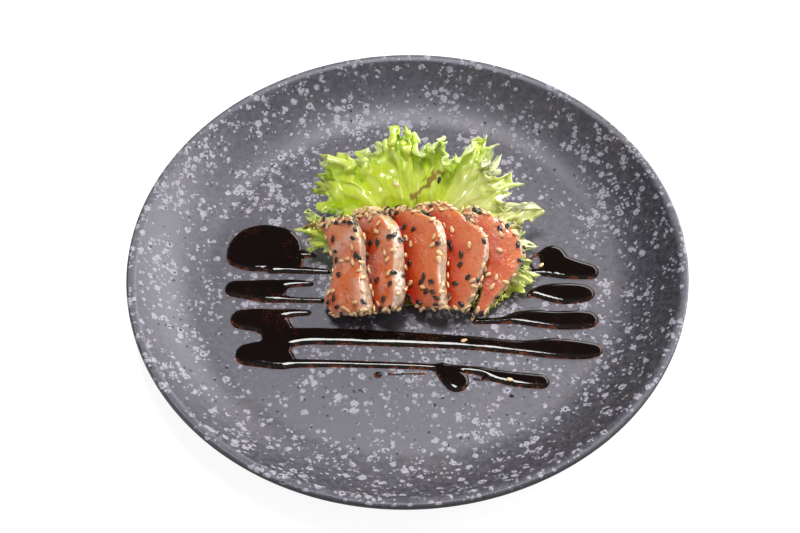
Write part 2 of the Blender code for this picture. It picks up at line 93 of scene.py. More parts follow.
# Each stroke is a chain of (x, y, half width) along its middle, on the plate's flat floor.
STROKES = {
    "pool_back": [(-81.5, 17.5, 8.2), (-74, 21.5, 14.4), (-66, 21.5, 13.6), (-63.5, 22.5, 10.6)],
    "pool_corner": [(-62, 19, 9.0), (-57, 12.5, 5.8)],
    "pool_arm_low": [(-66, 9, 3.6), (-60, 8, 2.5), (-48, 6.8, 2.2), (-38.5, 5.8, 1.5)],
    "pool_arm_high": [(-58, 18, 4.4), (-51, 17, 2.4), (-45.5, 16.4, 1.3)],
    "finger_1": [(-84.5, -3, 5), (-72, -4.6, 6.6), (-66, -5, 6.6)],
    "finger_1_high": [(-69, -2.4, 3.6), (-57, -0.8, 2.6), (-47.5, -1.2, 1.6)],
    "finger_1_low": [(-69, -8, 3.6), (-57, -10.5, 1.9), (-42, -11.6, 1.6)],
    "finger_2": [(-80, -21.3, 6), (-71, -22.5, 7), (-63, -27, 7)],
    "finger_2_arm": [(-68, -19.6, 3.6), (-57, -18.5, 2.6), (-48.5, -18.6, 1.7)],
    "bridge": [(-66, -24, 6.5), (-63, -33, 7.2), (-64, -41, 7.4)],
    "finger_3": [(-76.5, -41.8, 6.4), (-68, -42, 7.6), (-60, -45, 5.6)],
    "line_back": [(-62, -33, 6.4), (-50, -32.3, 5), (-37.8, -32.7, 4.9), (-3, -35.5, 4.4),
                  (28.5, -38.6, 4.0), (50, -41.7, 4.1), (60, -42.6, 4.9), (69, -43, 5.9),
                  (80, -44.2, 5.5), (87.5, -44.8, 4.4)],
    "line_front": [(-64, -45.5, 4.2), (-57, -47.4, 2.8), (-37.7, -48.2, 2.2), (-3, -50.5, 1.9),
                   (10.8, -51.8, 1.9), (31, -54.3, 2.4), (40, -57.5, 3.6), (51, -60.1, 4.2),
                   (61, -61.4, 4.1)],
    "drip": [(15, -53, 3.6), (18, -56.5, 5.0), (21.5, -60, 6.0)],
    "right_1": [(72.5, 11.5, 6.8), (74.5, 6.2, 7.6), (82, 3.4, 6.2), (89.5, 1.7, 4.8)],
    "right_1_tail": [(70, 3.2, 4.2), (66, 2.2, 2.5), (61.4, 1.6, 1.4)],
    "right_2": [(58.5, -12.4, 1.2), (61, -10.4, 2.2), (67, -10.2, 4.7), (75.5, -11.2, 6.3),
                (83.5, -11.3, 5.8), (86.5, -11.4, 4.6)],
    "right_3": [(32, -26.4, 1.6), (46, -26, 2.2), (52, -24.9, 3.7), (60.8, -25.4, 5),
                (71, -26.8, 5.4), (82, -27, 5.6), (86.3, -27, 5.0)],
}
# Thin smears and drops that are too fine for a heavy bead.
SMEARS = {
    "ring_film": [(69, 14, 1.3), (63.5, 12.5, 0.8), (61, 9, 0.7), (62.5, 4, 0.8)],
    "thread": [(30, -59, 0.7), (33, -59.6, 0.5), (36, -59, 0.7)],
    "drop_left": [(-15.3, -55.3, 1.8), (-14.9, -55.3, 1.8)],
    "drop_right": [(46.6, -68.8, 0.9), (47.2, -68.8, 0.9)],
    "trickle": [(-9.9, -55, 0.7), (-6, -55.4, 0.5), (-1, -54.9, 0.6), (6.5, -55.2, 0.7)],
}

# ---------------------------------------------------------------- salmon
SLICE_GAP = 0.35
# How square a slice is in plan, in thickness along its length, and in section.
PLAN_POWER = 6.0
THICKNESS_POWER = 3.4
SECTION_POWER = 5.0
# Share of the height that is left at the very ends, over and under the middle of the section.
TOP_LEAST = 0.3
UNDER_LEAST = 0.72
# Rings across each end face, as shares of the full width.
END_RINGS = [0.04, 0.14, 0.26, 0.38, 0.5, 0.6, 0.69, 0.77, 0.84, 0.9]
MIDDLE_RINGS = 84
SLICE_SIDES = 104
# From left to right: pale film and painted sheen on the face of each slice, how much paler its
# flesh is, and how much painted crevice shade turns its flesh deep red towards its left edge.
SLICE_FILM_AND_SHEEN = [0.36, 0.26, 0.06, 0.06, 0.14]
SLICE_PALES = [0.3, 0.0, 0.0, 0.0, 0.0]
SLICE_CREVICE_SHADE = [0.25, 1.0, 1.0, 1.0, 0.6]
# near: low left corner of the near end (x, y) and its height above the floor; lean: how far the
# slice has tipped over to the right, measured from flat; rise: slope of its length; left, right
# and thick: its two long edges and its thickness, at even steps from the near to the far end.
SLICES = {
    "slice_1": {"near": (-35.0, -20.1, -4.5), "lean": 44, "rise": 30, "length": 49.5,
                "left": (4, -0.8, 3.4, 3.4, 1.2, -2.5, -9),
                "right": (30, 27.5, 26, 24.0, 23.8, 21.5, 18),
                "thick": (10.5, 10.5, 9, 6.5, 6.5, 7, 8)},
    "slice_2": {"near": (-16.8, -19.2, -4.4), "lean": 46, "rise": 30, "length": 53,
                "left": (2, 1, 0.5, 0, -0.5, -2.5, -8),
                "right": (24, 25.4, 24.8, 25.3, 24.5, 20.5, 10),
                "thick": (11, 11, 10.5, 10, 10, 11, 9)},
    "slice_3": {"near": (-1.2, -18.6, -3.9), "lean": 37, "rise": 29, "length": 53,
                "left": (10, 4, 1, 0, -1.5, -4, -11),
                "right": (28.5, 27.2, 26.8, 27.4, 27.6, 22.5, 5),
                "thick": (8, 9, 9.5, 9, 8.5, 8, 7)},
    "slice_4": {"near": (16.4, -21.85, -1.1), "lean": 23, "rise": 27, "length": 55.5,
                "left": (5, 1.5, 1, 0, -1.5, -4, -13),
                "right": (15, 19.4, 23.2, 26.4, 25.4, 16.4, 7),
                "thick": (7.5, 8, 8, 8, 8, 7.5, 6.5)},
    "slice_5": {"near": (34.6, -23.8, -0.3), "lean": 9, "rise": 25, "length": 54,
                "left": (-4, 0, 1.6, 2.4, 2, -2, -8.5),
                "right": (3.5, 10.2, 17.8, 22.6, 21.4, 14.6, 2.5),
                "thick": (6.5, 7, 7, 6.8, 6.8, 6.5, 6)},
}

# ---------------------------------------------------------------- sesame
# Zones of a slice: how many seeds, and the least distance between their middles.
SEED_ZONES = {"face": (22, 2.5), "side": (15, 2.3), "far_end": (24, 2.0), "near_end": (13, 2.2),
              "left_side": (6, 3.0)}
# Slices whose face carries fewer seeds than that, and their share of it.
SEED_SHARE = {"slice_4": 0.55, "slice_5": 0.7}
SEED_END_BLACK = 0.22
SEED_CLEARANCE = 0.75
SEED_TRIES = 1500
# How far a seed's middle stands off the flesh and how much it tips, on the faces and at the ends.
SEED_LIFT = 0.38
SEED_TILT = 0.16
SEED_END_LIFT = (-0.45, 0.35)
SEED_END_TILT = 0.45
# The same height for seeds on the plate, the sauce and the leaf.
SEED_REST = 0.35
# Loose seeds on the plate and its sauce: (x, y, height above the floor, turn in degrees).
PLATE_SEEDS = [(26.1, -38.3, 1.5, 20), (46.5, -61, 1.5, -15), (31, -24.6, 0.0, 70),
               (66.4, 5.8, 0.6, 35), (-48, 26, 0.0, 10)]
# Seeds on the leaf, by azimuth and share of the way out, and whether they are black.
LEAF_SEEDS = [(112, 0.50, False), (66, 0.60, True), (62, 0.46, True), (166, 0.72, False)]

# ---------------------------------------------------------------- lettuce
# Region under the slices where the leaf is held down, its grid, how far round each point the
# slices count, and the ceiling where no slice lies over the leaf.
UNDER_LOW = (-50.0, -35.0)
UNDER_HIGH = (65.0, 45.0)
UNDER_CELL = 0.8
UNDER_REACH = 2.2
OPEN_CEILING = 200.0
LEAF_CENTRE = (5.0, 9.0)
# Bed under the slices: its height and slopes, and the radii of the ellipse that the leaf lies on.
BED_HEIGHT = 18.8
BED_SLOPE = (-0.035, 0.53)
BED_RADII = (31.0, 13.0)
LEAF_CLEARANCE = 0.35
LEAF_RINGS = 64
# Azimuths from and to, and how many spokes of the leaf they hold.
LEAF_SPANS = [((190, -45), 660), ((-45, -170), 60)]
# Outer edge: azimuth in degrees, radius, height above the plate's base, and how long the leaf
# follows the bed before it turns to that edge.
LEAF_EDGE = [
    (190, 36, 9.5, 1.5), (183, 39, 9.5, 1.5), (178, 42, 10.5, 1.5), (175, 51, 12.5, 1.5),
    (173, 59, 14, 1.5), (170, 56, 15, 1.5), (166, 64, 16, 1.5), (162, 65, 17, 1.5),
    (157, 61, 18, 1.4), (151, 54, 19, 1.4), (145, 61, 21, 1.3), (140, 63, 26, 1.2),
    (134, 66, 31, 1.1), (128, 62, 33, 1.0), (121, 57, 37, 1.0), (113, 55, 41, 1.0),
    (104, 53, 45, 1.0), (94, 53, 47, 1.0), (86, 48, 45, 1.0), (77, 50, 46, 1.0),
    (69, 52, 46, 1.0), (62, 47, 43, 1.0), (56, 59, 44, 1.0), (50, 60, 43, 1.0),
    (44, 58, 40, 1.0), (37, 57, 35, 1.1), (30, 57, 30, 1.2), (24, 58, 24, 1.4),
    (18, 63, 20, 1.5), (11, 58, 16, 1.6), (4, 56, 14, 1.5), (-4, 55, 11, 1.3),
    (-13, 59, 9.8, 1.2), (-20, 56, 9.2, 1.1), (-27, 50, 8.8, 1.0), (-35, 47, 8.6, 1.0),
    (-42, 44, 8.2, 1.0), (-52, 34, 7.8, 1.0), (-70, 28, 7.5, 1.0), (-100, 26, 7.5, 1.0),
    (-130, 32, 7.5, 1.0), (-155, 35, 8.0, 1.2), (-170, 36, 9.5, 1.5)]
# Valleys of the leaf: azimuth, depth and width in degrees.
LEAF_CREASES = [(63, 4.0, 7), (151, 3.0, 5)]
# Waves of the leaf: how many round a full turn, their height, and where they begin.
LEAF_FOLDS = (13, 2.4, 0.25)
LEAF_RUFFLES = (31, 2.6, 0.44)
LEAF_FRILLS = (77, 1.3, 0.66)
# Points of the edge: how many round a full turn, how far they reach, and where they begin.
LEAF_LOBES = (19, 7.0, 0.60)
LEAF_TEETH = (64, 5.5, 0.78)
# Curls of the edge: their width, how far they reach, and where they begin.
LEAF_CURLS = (12, 4.0, 0.74)
LEAF_RIBS = 27
# Sauce that has run onto the leaf: (x, y) of both ends of each run, and its half width.
LEAF_STAINS = [((-51, 26), (-45, 22), 3.2), ((3, 29.5), (8, 33), 1.1), ((10, 34), (17, 40.5), 2.0),
               ((54, 21), (56, 17), 1.6), ((34, -13), (36, -7), 3.0), ((0, -15), (0, -11), 4.0)]

# ---------------------------------------------------------------- stage
CAMERA_TARGET = (-3.42, 12.36, 0.0)
SENSOR_WIDTH = 36.0
FLOOR_REACH = 4000
FLOOR_DROP = -0.1
FLOOR_GLOW = 0.86
# Y of a direction where the studio's front glow ends and where its back glow begins.
SKY_BAND = (-0.35, 0.45)
# Soft panels: azimuth from +Y to +X and elevation in degrees, distance and both sides in metres.
WINDOW_LIGHT = (50, 25, 1.3, (1.9, 0.75))
TOP_LIGHT = (-10, 78, 2.0, (0.32, 0.7))


# ================================================================ settings
def number(name, default, description, **more):
    """A number that a user may change."""
    return FloatProperty(name=name, default=default, description=description, **more)


def length(name, default, description):
    """A length that a user may change, in metres."""
    return number(name, default, description, min=0.0, unit="LENGTH", subtype="DISTANCE",
                  precision=5)


def colour(name, default, description):
    """A linear colour that a user may change."""
    return FloatVectorProperty(name=name, default=default, size=3, min=0.0, max=1.0,
                               subtype="COLOR", description=description)


class PlateSettings(bpy.types.PropertyGroup):
    """Glaze of the plate."""
    glaze: colour("Glaze", (0.0125, 0.0115, 0.0195), "Charcoal ground of the glaze")
    speckle: colour("Speckle", (0.37, 0.355, 0.41), "Pale spots in the glaze")
    tint: colour("Tint", (0.026, 0.018, 0.020), "Brown-violet clouds in the glaze")
    speckle_size: length("Speckle size", 0.0021, "Width of the usual pale spot")
    lip: length("Lip", 0.0012, "Radius of the rounded lip")


class SauceSettings(bpy.types.PropertyGroup):
    """Body and colour of the sauce."""
    bead: length("Bead height", 0.0016, "Height of the sauce where it lies thickest")
    shoulder: length("Shoulder", 0.0034, "Distance from the outline to the full height")
    body: colour("Body", (0.0045, 0.0022, 0.0018), "Colour of thick sauce")
    rim: colour("Rim", (0.20, 0.042, 0.007), "Colour of thin sauce")


class SalmonSettings(bpy.types.PropertyGroup):
    """Colours and relief of the salmon."""
    flesh: colour("Flesh", (0.67, 0.142, 0.036), "Cut face of a slice")
    # Deep also gives the painted shade in the crevices along each slice's left edge.
    deep: colour("Deep", (0.46, 0.014, 0.003), "Rawest flesh, in the crevices")
    pale: colour("Pale", (0.74, 0.30, 0.125), "Flesh next to the sear")
    seared: colour("Seared", (0.53, 0.37, 0.25), "Seared outside")
    browned: colour("Browned", (0.50, 0.24, 0.06), "Brown spots of the sear")
    # Milky also gives the painted sheen on the faces and the painted highlight along the top of the
    # seared sides.
    milky: colour("Milky", (0.74, 0.64, 0.54), "White streaks of the sear and film on the flesh")
    relief: length("Relief", 0.0006, "Depth of the seared outside's relief")


class SesameSettings(bpy.types.PropertyGroup):
    """Size and colours of the sesame."""
    long: length("Length", 0.0036, "Length of a seed")
    wide: length("Width", 0.0023, "Width of a seed")
    thick: length("Thickness", 0.0011, "Thickness of a seed")
    cream: colour("Cream", (0.90, 0.61, 0.31), "Toasted seeds")
    black: colour("Black", (0.012, 0.010, 0.011), "Black seeds")
    share: number("Black share", 0.40, "Share of the seeds that are black", min=0.0, max=1.0,
                  subtype="FACTOR")
    draw: IntProperty(name="Draw", default=7, min=0, description="Seed of the random places")


class LettuceSettings(bpy.types.PropertyGroup):
    """Blade of the lettuce."""
    blade: length("Blade", 0.00035, "Thickness of the leaf")
    heart: colour("Heart", (0.58, 0.84, 0.030), "Middle of the leaf")
    frill: colour("Frill", (0.60, 0.86, 0.075), "Frilled edge")
    light: colour("Light", (0.76, 0.90, 0.30), "Pale side lobe and ribs")
    deep: colour("Deep", (0.40, 0.66, 0.02), "Darker patches")
    # Milky is the real pale back of the curls, and also painted highlight patches on the frills.
    milky: colour("Milky", (0.84, 0.95, 0.60), "Backs of the curls")
    stain: colour("Stain", (0.20, 0.055, 0.002), "Sauce that has run onto the leaf")


class StageSettings(bpy.types.PropertyGroup):
    """Floor, lights and camera."""
    ground: colour("Floor", (0.30, 0.30, 0.30), "Floor")
    window_power: number("Window light", 31.0, "Power of the large soft light behind on the right",
                         min=0.0, unit="POWER")
    top_power: number("Top light", 27.0, "Power of the small soft light over the plate",
                      min=0.0, unit="POWER")
    front_glow: number("Front glow", 0.62, "Brightness of the studio on the diner's side", min=0.0)
    back_glow: number("Back glow", 0.10, "Brightness of the studio behind the plate", min=0.0)
    lens: number("Lens", 70.0, "Focal length in millimetres on a 36 mm sensor", min=10.0,
                 unit="CAMERA")
    elevation: number("Elevation", math.radians(53.29), "Height of the view over the table",
                      subtype="ANGLE", unit="ROTATION")
    roll: number("Roll", math.radians(-1.546), "Turn of the camera about its view",
                 subtype="ANGLE", unit="ROTATION")
    distance: length("Distance", 0.7763, "Distance from the camera to the table")


# ================================================================ node trees
class Value:
    """An output of a node that takes part in sums."""

    def __init__(self, wires, socket):
        self.wires = wires
        self.socket = socket

    def __add__(self, other):
        return self.wires.math("ADD", self, other)

    def __sub__(self, other):
        return self.wires.math("SUBTRACT", self, other)

    def __rsub__(self, other):
        return self.wires.math("SUBTRACT", other, self)

    def __mul__(self, other):
        return self.wires.math("MULTIPLY", self, other)


class Node:
    """A node whose outputs are read as node[0] or node["Name"]."""

    def __init__(self, wires, made):
        self.wires = wires
        self.made = made

    def __getitem__(self, key):
        return Value(self.wires, self.made.outputs[key])


class Wiring:
    """Short calls that add nodes to a tree and hand back their values."""

    def __init__(self, tree):
        self.tree = tree

    def node(self, kind, inputs=None, **settings):
        """Add a node, set its options, and feed its inputs by name or number."""
        made = self.tree.nodes.new(kind)
        made.location = (200 * len(self.tree.nodes), 0)
        for key, value in settings.items():
            setattr(made, key, value)
        self.feed(made, inputs or {})
        return Node(self, made)

    def feed(self, made, inputs):
        """Join values to a node's inputs, or set the inputs' own values."""
        for key, value in inputs.items():
            if isinstance(value, Value):
                self.tree.links.new(value.socket, made.inputs[key])
            else:
                made.inputs[key].default_value = value

    def math(self, operation, first, second, clamp=False):
        """One sum of two numbers."""
        return self.node("ShaderNodeMath", {0: first, 1: second}, operation=operation,
                         use_clamp=clamp)[0]

    def larger(self, first, second):
        """The larger of two numbers."""
        return self.math("MAXIMUM", first, second)

    def vector(self, operation, first, second):
        """One sum of two vectors."""
        return self.node("ShaderNodeVectorMath", {0: first, 1: second}, operation=operation)[0]

    def step(self, value, low, high):
        """0 below low, 1 above high, and smooth between; low may be the higher one."""
        return self.node("ShaderNodeMapRange", {"Value": value, "From Min": low, "From Max": high},
                         interpolation_type="SMOOTHSTEP")["Result"]

    def mix(self, share, first, second):
        """Blend two colours, each a value or three numbers."""
        first, second = (c if isinstance(c, Value) else (*c, 1.0) for c in (first, second))
        return self.node("ShaderNodeMix", {0: share, 6: first, 7: second}, data_type="RGBA")[2]

    def noise(self, vector, scale, detail, rough=0.5, bend=0.0):
        """Noise of about 1 / scale metres, from 0 to 1."""
        return self.node("ShaderNodeTexNoise", {"Vector": vector, "Scale": scale, "Detail": detail,
                                                "Roughness": rough, "Distortion": bend})[0]


def shared_group(name, inputs, build):
    """The shader group of that name; build(wires, given) wires it once and names its outputs."""
    tree = bpy.data.node_groups.get(name)
    if tree:
        return tree
    tree = bpy.data.node_groups.new(name, "ShaderNodeTree")
    tree.interface.new_socket("Vector", in_out="INPUT", socket_type="NodeSocketVector")
    for key, value in inputs.items():
        socket = tree.interface.new_socket(key, in_out="INPUT", socket_type="NodeSocketFloat")
        socket.default_value = value
    wires = Wiring(tree)
    outputs = build(wires, wires.node("NodeGroupInput"))
    for key in outputs:
        tree.interface.new_socket(key, in_out="OUTPUT", socket_type="NodeSocketFloat")
    wires.node("NodeGroupOutput", outputs)
    return tree


def build_patches(wires, given):
    """Soft uneven patches: Mask runs from 0 below Low to 1 above High."""
    value = wires.noise(given["Vector"], given["Scale"], 4.0, 0.6, 0.25)
    return {"Mask": wires.step(value, given["Low"], given["High"])}


def build_film(wires, given):
    """A wet surface: roughness that breaks up in patches, and a fine uneven height."""
    patches = wires.noise(given["Vector"], given["Scale"], 3.0, 0.55)
    fine = wires.noise(given["Vector"], given["Scale"] * 3.0, 2.0)
    dryness = wires.step(patches, 0.42, 0.62) * (given["Dry"] - given["Wet"])
    return {"Roughness": given["Wet"] + dryness, "Height": patches + fine * 0.35}


class Finish(Wiring):
    """A Principled material in Object coordinates."""

    def __init__(self, name, constants):
        self.material = bpy.data.materials.new(name)
        self.material.use_nodes = True
        super().__init__(self.material.node_tree)
        self.shader = self.tree.nodes["Principled BSDF"]
        self.feed(self.shader, constants)
        self.place = self.node("ShaderNodeTexCoord")["Object"]

    def attributes(self, *names):
        """Numbers stored on the mesh's points."""
        return [self.node("ShaderNodeAttribute", attribute_name=name)["Fac"] for name in names]

    def patches(self, scale, low, high):
        """A mask of soft uneven patches of about 1 / scale metres."""
        tree = shared_group("uneven patches", {"Scale": 100.0, "Low": 0.4, "High": 0.6},
                            build_patches)
        return self.node("ShaderNodeGroup", {"Vector": self.place, "Scale": scale, "Low": low,
                                             "High": high}, node_tree=tree)["Mask"]

    def film(self, scale, wet, dry):
        """Roughness and height of a wet surface."""
        tree = shared_group("wet film", {"Scale": 300.0, "Wet": 0.1, "Dry": 0.4}, build_film)
        made = self.node("ShaderNodeGroup", {"Vector": self.place, "Scale": scale, "Wet": wet,
                                             "Dry": dry}, node_tree=tree)
        return made["Roughness"], made["Height"]

    def shade(self, base, rough, height, depth, alpha=1.0):
        """Feed the shader, with height as a relief of that depth in metres."""
        relief = self.node("ShaderNodeBump", {"Height": height, "Distance": depth})["Normal"]
        self.feed(self.shader, {"Base Color": base, "Roughness": rough, "Alpha": alpha,
                                "Normal": relief})
        return self.material


# ================================================================ meshes
def blend(before, start, end, after, t):
    """Catmull-Rom curve between start and end."""
    return 0.5 * (2 * start + (end - before) * t
                  + (2 * before - 5 * start + 4 * end - after) * t * t
                  + (3 * start - before - 3 * end + after) * t ** 3)


def smooth_chain(points, step):
    """Read a smooth curve through points of any dimension, about one step apart."""
    points = np.array(points, float)
    chain = [2 * points[0] - points[1], *points, 2 * points[-1] - points[-2]]
    read = []
    for before, start, end, after in zip(chain, chain[1:], chain[2:], chain[3:]):
        count = max(1, round(math.dist(start[:2], end[:2]) / step))
        read += [blend(before, start, end, after, k / count) for k in range(count)]
    return np.array([*read, points[-1]])


def spread(values, share):
    """Read a smooth curve through evenly spaced values, for arrays."""
    values = np.array(values, float)
    last = len(values) - 1
    place = np.clip(share, 0, 1) * last
    i = np.minimum(np.floor(place).astype(int), last - 1)
    return blend(*(values[np.clip(i + k, 0, last)] for k in (-1, 0, 1, 2)), place - i)


def smooth_step(value, low, high):
    """0 below low, 1 above high, and smooth between, for arrays."""
    share = np.clip((value - low) / (high - low), 0, 1)
    return share * share * (3 - 2 * share)


def noise_field(points, size, shift=0.0):
    """Smooth noise from about -1 to 1 at an array of points, with features of one size."""
    away = Vector((17.3, 5.1, 9.7)) * shift
    flat = np.asarray(points, float).reshape(-1, 3) / size
    read = np.array([noise.noise(Vector(p) + away) for p in flat])
    return read.reshape(np.asarray(points).shape[:-1])


def add_object(name, data):
    """Put a new object at the scene's origin."""
    made = bpy.data.objects.new(name, data)
    bpy.context.scene.collection.objects.link(made)
    return made


def add_piece(name, verts, faces, finish):
    """Make a piece from points in millimetres, with its faces pointing out."""
    mesh = bpy.data.meshes.new(name)
    mesh.from_pydata((np.asarray(verts, float) * MM).tolist(), [], faces)
    mesh.materials.append(finish)
    bm = bmesh.new()
    bm.from_mesh(mesh)
    bmesh.ops.recalc_face_normals(bm, faces=bm.faces)
    bm.to_mesh(mesh)
    bm.free()
    mesh.shade_smooth()
    return add_object(name, mesh)


def store(piece, **fields):
    """Keep arrays of numbers on a mesh's points."""
    for name, values in fields.items():
        layer = piece.data.attributes.new(name, "FLOAT", "POINT")
        layer.data.foreach_set("value", np.asarray(values, np.float32).ravel())


def ring_faces(rings, sides, first=0):
    """Quads between rings of points, each ring closed on itself."""
    i, j = np.meshgrid(np.arange(rings - 1), np.arange(sides), indexing="ij")
    a = first + i * sides + j
    b = first + i * sides + (j + 1) % sides
    return np.stack([a, b, b + sides, a + sides], axis=-1).reshape(-1, 4).tolist()


def closed_loft(rings):
    """Points and faces of rings of points, closed by a point at each end."""
    count, sides = rings.shape[:2]
    verts = np.concatenate([rings.reshape(-1, 3), [rings[0].mean(axis=0)],
                            [rings[-1].mean(axis=0)]])
    faces = ring_faces(count, sides)
    low, high = count * sides, count * sides + 1
    last = (count - 1) * sides
    faces += [(low, (j + 1) % sides, j) for j in range(sides)]
    faces += [(high, last + j, last + (j + 1) % sides) for j in range(sides)]
    return verts, faces


def tree_of(piece):
    """Ray-casting tree of a piece, in metres."""
    return BVHTree.FromPolygons([v.co for v in piece.data.vertices],
                                [p.vertices for p in piece.data.polygons])


def finish_piece(piece, slot, *nodes):
    """Ride the root body and stand for the solids; the slot is not used."""
    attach(piece, "root")
    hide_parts(*nodes)


# ================================================================ plate
def plate_section(lip):
    """Half section of the plate (r, z), from the axis under it round the lip to the axis."""
    section = [(r, max(z, 0.0)) for r, z in smooth_chain(UNDERSIDE, 1.6)]
    outer, top = RIM_RADIUS, RIM_HEIGHT
    section += [(outer - 1.4, 20.2), (outer - 0.4, 21.2), (outer, 22.2)]
    section += [(outer - lip * (1 - math.cos(turn)), top - lip + lip * math.sin(turn))
                for turn in np.linspace(0, math.pi / 2, 9)]
    inner = RIM_RADIUS - LIP_WIDTH
    for share in np.linspace(1, 0, WELL_RINGS) ** 0.85:
        radius = FLOOR_RADIUS + (inner - FLOOR_RADIUS) * share
        section.append((radius, FLOOR_Z + (top - 0.5 - FLOOR_Z) * share ** WELL_POWER))
    section += [(FLOOR_RADIUS * share, FLOOR_Z) for share in np.linspace(0.97, 0.03, 34)]
    section = [(20.0, RECESS_Z), (40.0, RECESS_Z)] + section
    return np.array(section)


def spot_field(wires, place, scale, density, largest):
    """Round cells: how much each place lies in a spot, and in the pit of a spot."""
    cells = wires.node("ShaderNodeTexVoronoi", {"Vector": place, "Scale": scale})
    draw = wires.node("ShaderNodeSeparateColor", {0: cells["Color"]})
    near = cells["Distance"]
    radius = (draw[0] + 0.35) * largest
    chosen = wires.step(density - draw[1], 0.0, 0.03)
    spot = wires.step(near - radius, 0.09, -0.09) * chosen
    pit = wires.step(near - radius * 0.32, 0.05, -0.04) * wires.step(draw[2], 0.52, 0.56)
    return spot, pit


def glaze_finish(settings):
    """Charcoal stoneware glaze with ragged pale spots, many of them round a dark pit, and painted
    shade on the outer wall of the lip.
    """
    wires = Finish("speckled glaze", {"Metallic": 0.0, "IOR": 1.6, "Specular IOR Level": 0.8,
                                      "Specular Tint": (0.98, 0.955, 1.05, 1.0)})
    fine = 1 / settings.speckle_size
    bend = wires.node("ShaderNodeTexNoise", {"Vector": wires.place, "Scale": fine * 1.5,
                                             "Detail": 3.0})["Color"]
    shift = wires.vector("SUBTRACT", bend, (0.5, 0.5, 0.5))
    bent = wires.vector("ADD", wires.place, wires.vector("MULTIPLY", shift, (SPOT_BEND * MM,) * 3))
    clouds = wires.noise(wires.place, fine * 0.13, 3.0, 0.6)
    crowd = wires.step(clouds, 0.38, 0.66) * 1.1 + 0.08
    large, large_pit = spot_field(wires, bent, fine * 0.56, crowd * 0.86, 0.42)
    small, small_pit = spot_field(wires, bent, fine * 1.15, crowd * 0.42, 0.42)
    lone, _ = spot_field(wires, wires.place, fine * 0.62, 0.42, 0.15)
    pale = wires.larger(large, small) * wires.patches(fine * 2.0, 0.28, 0.54)
    pit = wires.larger(wires.larger(large_pit, lone), small_pit * small)
    pit = pit * wires.step(clouds, 0.3, 0.5)
    soft = wires.patches(fine * 0.8, 0.36, 0.64)
    # edge: the outer wall of the lip below its crest, darkened by painted shade and made rougher.
    edge, = wires.attributes("edge")
    base = wires.mix(wires.patches(34.0, 0.5, 0.72), settings.glaze, settings.tint)
    base = wires.mix(soft * 0.085, base, settings.speckle)
    base = wires.mix(pale * 0.85, base, settings.speckle)
    base = wires.mix(pit * 0.95, base, PIT_COLOUR)
    base = wires.mix(edge, base, RIM_SHADE_COLOUR)
    rough = pit * 0.4 + 0.46 + pale * 0.16 + soft * 0.07 + edge * 0.54
    return wires.shade(base, rough, pale * 0.4 - pit + clouds * 0.8, 0.00012)


class TATAKI_OT_plate(bpy.types.Operator):
    """Turn the coupe plate and glaze it"""
    bl_idname = "tataki.plate"
    bl_label = "Plate"

    def execute(self, context):
        settings = context.scene.tataki_plate
        section = plate_section(settings.lip / MM)
        turns = np.linspace(0, math.tau, PLATE_SEGMENTS, endpoint=False)
        wobble = np.sin(2 * turns + 0.8) * 0.6 + np.sin(5 * turns + 2.0) * 0.4
        share = np.clip((section[:, 0] - FLOOR_RADIUS) / (RIM_RADIUS - FLOOR_RADIUS), 0, 1) ** 2
        radius = section[:, :1] - RIM_WOBBLE * share[:, None] * (1 + wobble) / 2
        height = section[:, 1:] - RIM_WOBBLE * share[:, None] * (1 - wobble) / 2
        rings = np.stack([radius * np.cos(turns), radius * np.sin(turns),
                          np.broadcast_to(height, radius.shape)], axis=-1)
        verts, faces = closed_loft(rings)
        plate = add_piece("plate_glaze", verts, faces, glaze_finish(settings))
        far = np.linalg.norm(verts[:, :2], axis=1)
        low = smooth_step(RIM_HEIGHT - 0.4 - verts[:, 2], 0.0, 0.8)
        # edge marks the outer wall below the lip, where painted shade darkens the glaze.
        store(plate, edge=low * smooth_step(far, RIM_RADIUS - 1.6, RIM_RADIUS - 0.6))
        finish_piece(plate, "plate_glaze", "plate")
        return {"FINISHED"}


# ================================================================ sauce
def stroke_distance(x, y, strokes):
    """Signed distance from the outline of all strokes, negative inside, for arrays."""
    total = np.zeros(x.shape)
    for chain in strokes:
        spots = smooth_chain(chain, 2.0)
        nearest = np.full(x.shape, np.inf)
        for (x0, y0, half0), (x1, y1, half1) in zip(spots, spots[1:]):
            run = (x1 - x0, y1 - y0)
            share = ((x - x0) * run[0] + (y - y0) * run[1]) / (run[0] ** 2 + run[1] ** 2)
            share = np.clip(share, 0, 1)
            away = np.hypot(x - x0 - share * run[0], y - y0 - share * run[1])
            nearest = np.minimum(nearest, away - half0 - (half1 - half0) * share)
        total += np.exp(-np.clip(nearest, -30, 30) / SAUCE_BLEND)
    return -SAUCE_BLEND * np.log(total)


def sauce_finish(settings):
    """Dark glossy sauce that turns red-brown and lets the plate through where it is thin."""
    wires = Finish("dark sauce", {"Metallic": 0.0, "IOR": 1.4, "Specular IOR Level": 0.4})
    depth, = wires.attributes("depth")
    reach = wires.patches(260.0, 0.42, 0.66) * 0.62 + 0.06
    thin = wires.step(depth - reach, 0.10, -0.16)
    flecks = wires.patches(1100.0, 0.50, 0.66) * wires.patches(75.0, 0.50, 0.66)
    flecks = flecks * wires.step(depth, 1.0, 0.9)
    base = wires.mix(thin, settings.body, settings.rim)
    base = wires.mix(flecks * 0.42, base, settings.rim)
    rough, height = wires.film(90.0, 0.05, 0.085)
    return wires.shade(base, rough, height, 0.00003, 1.0 - thin * 0.30)


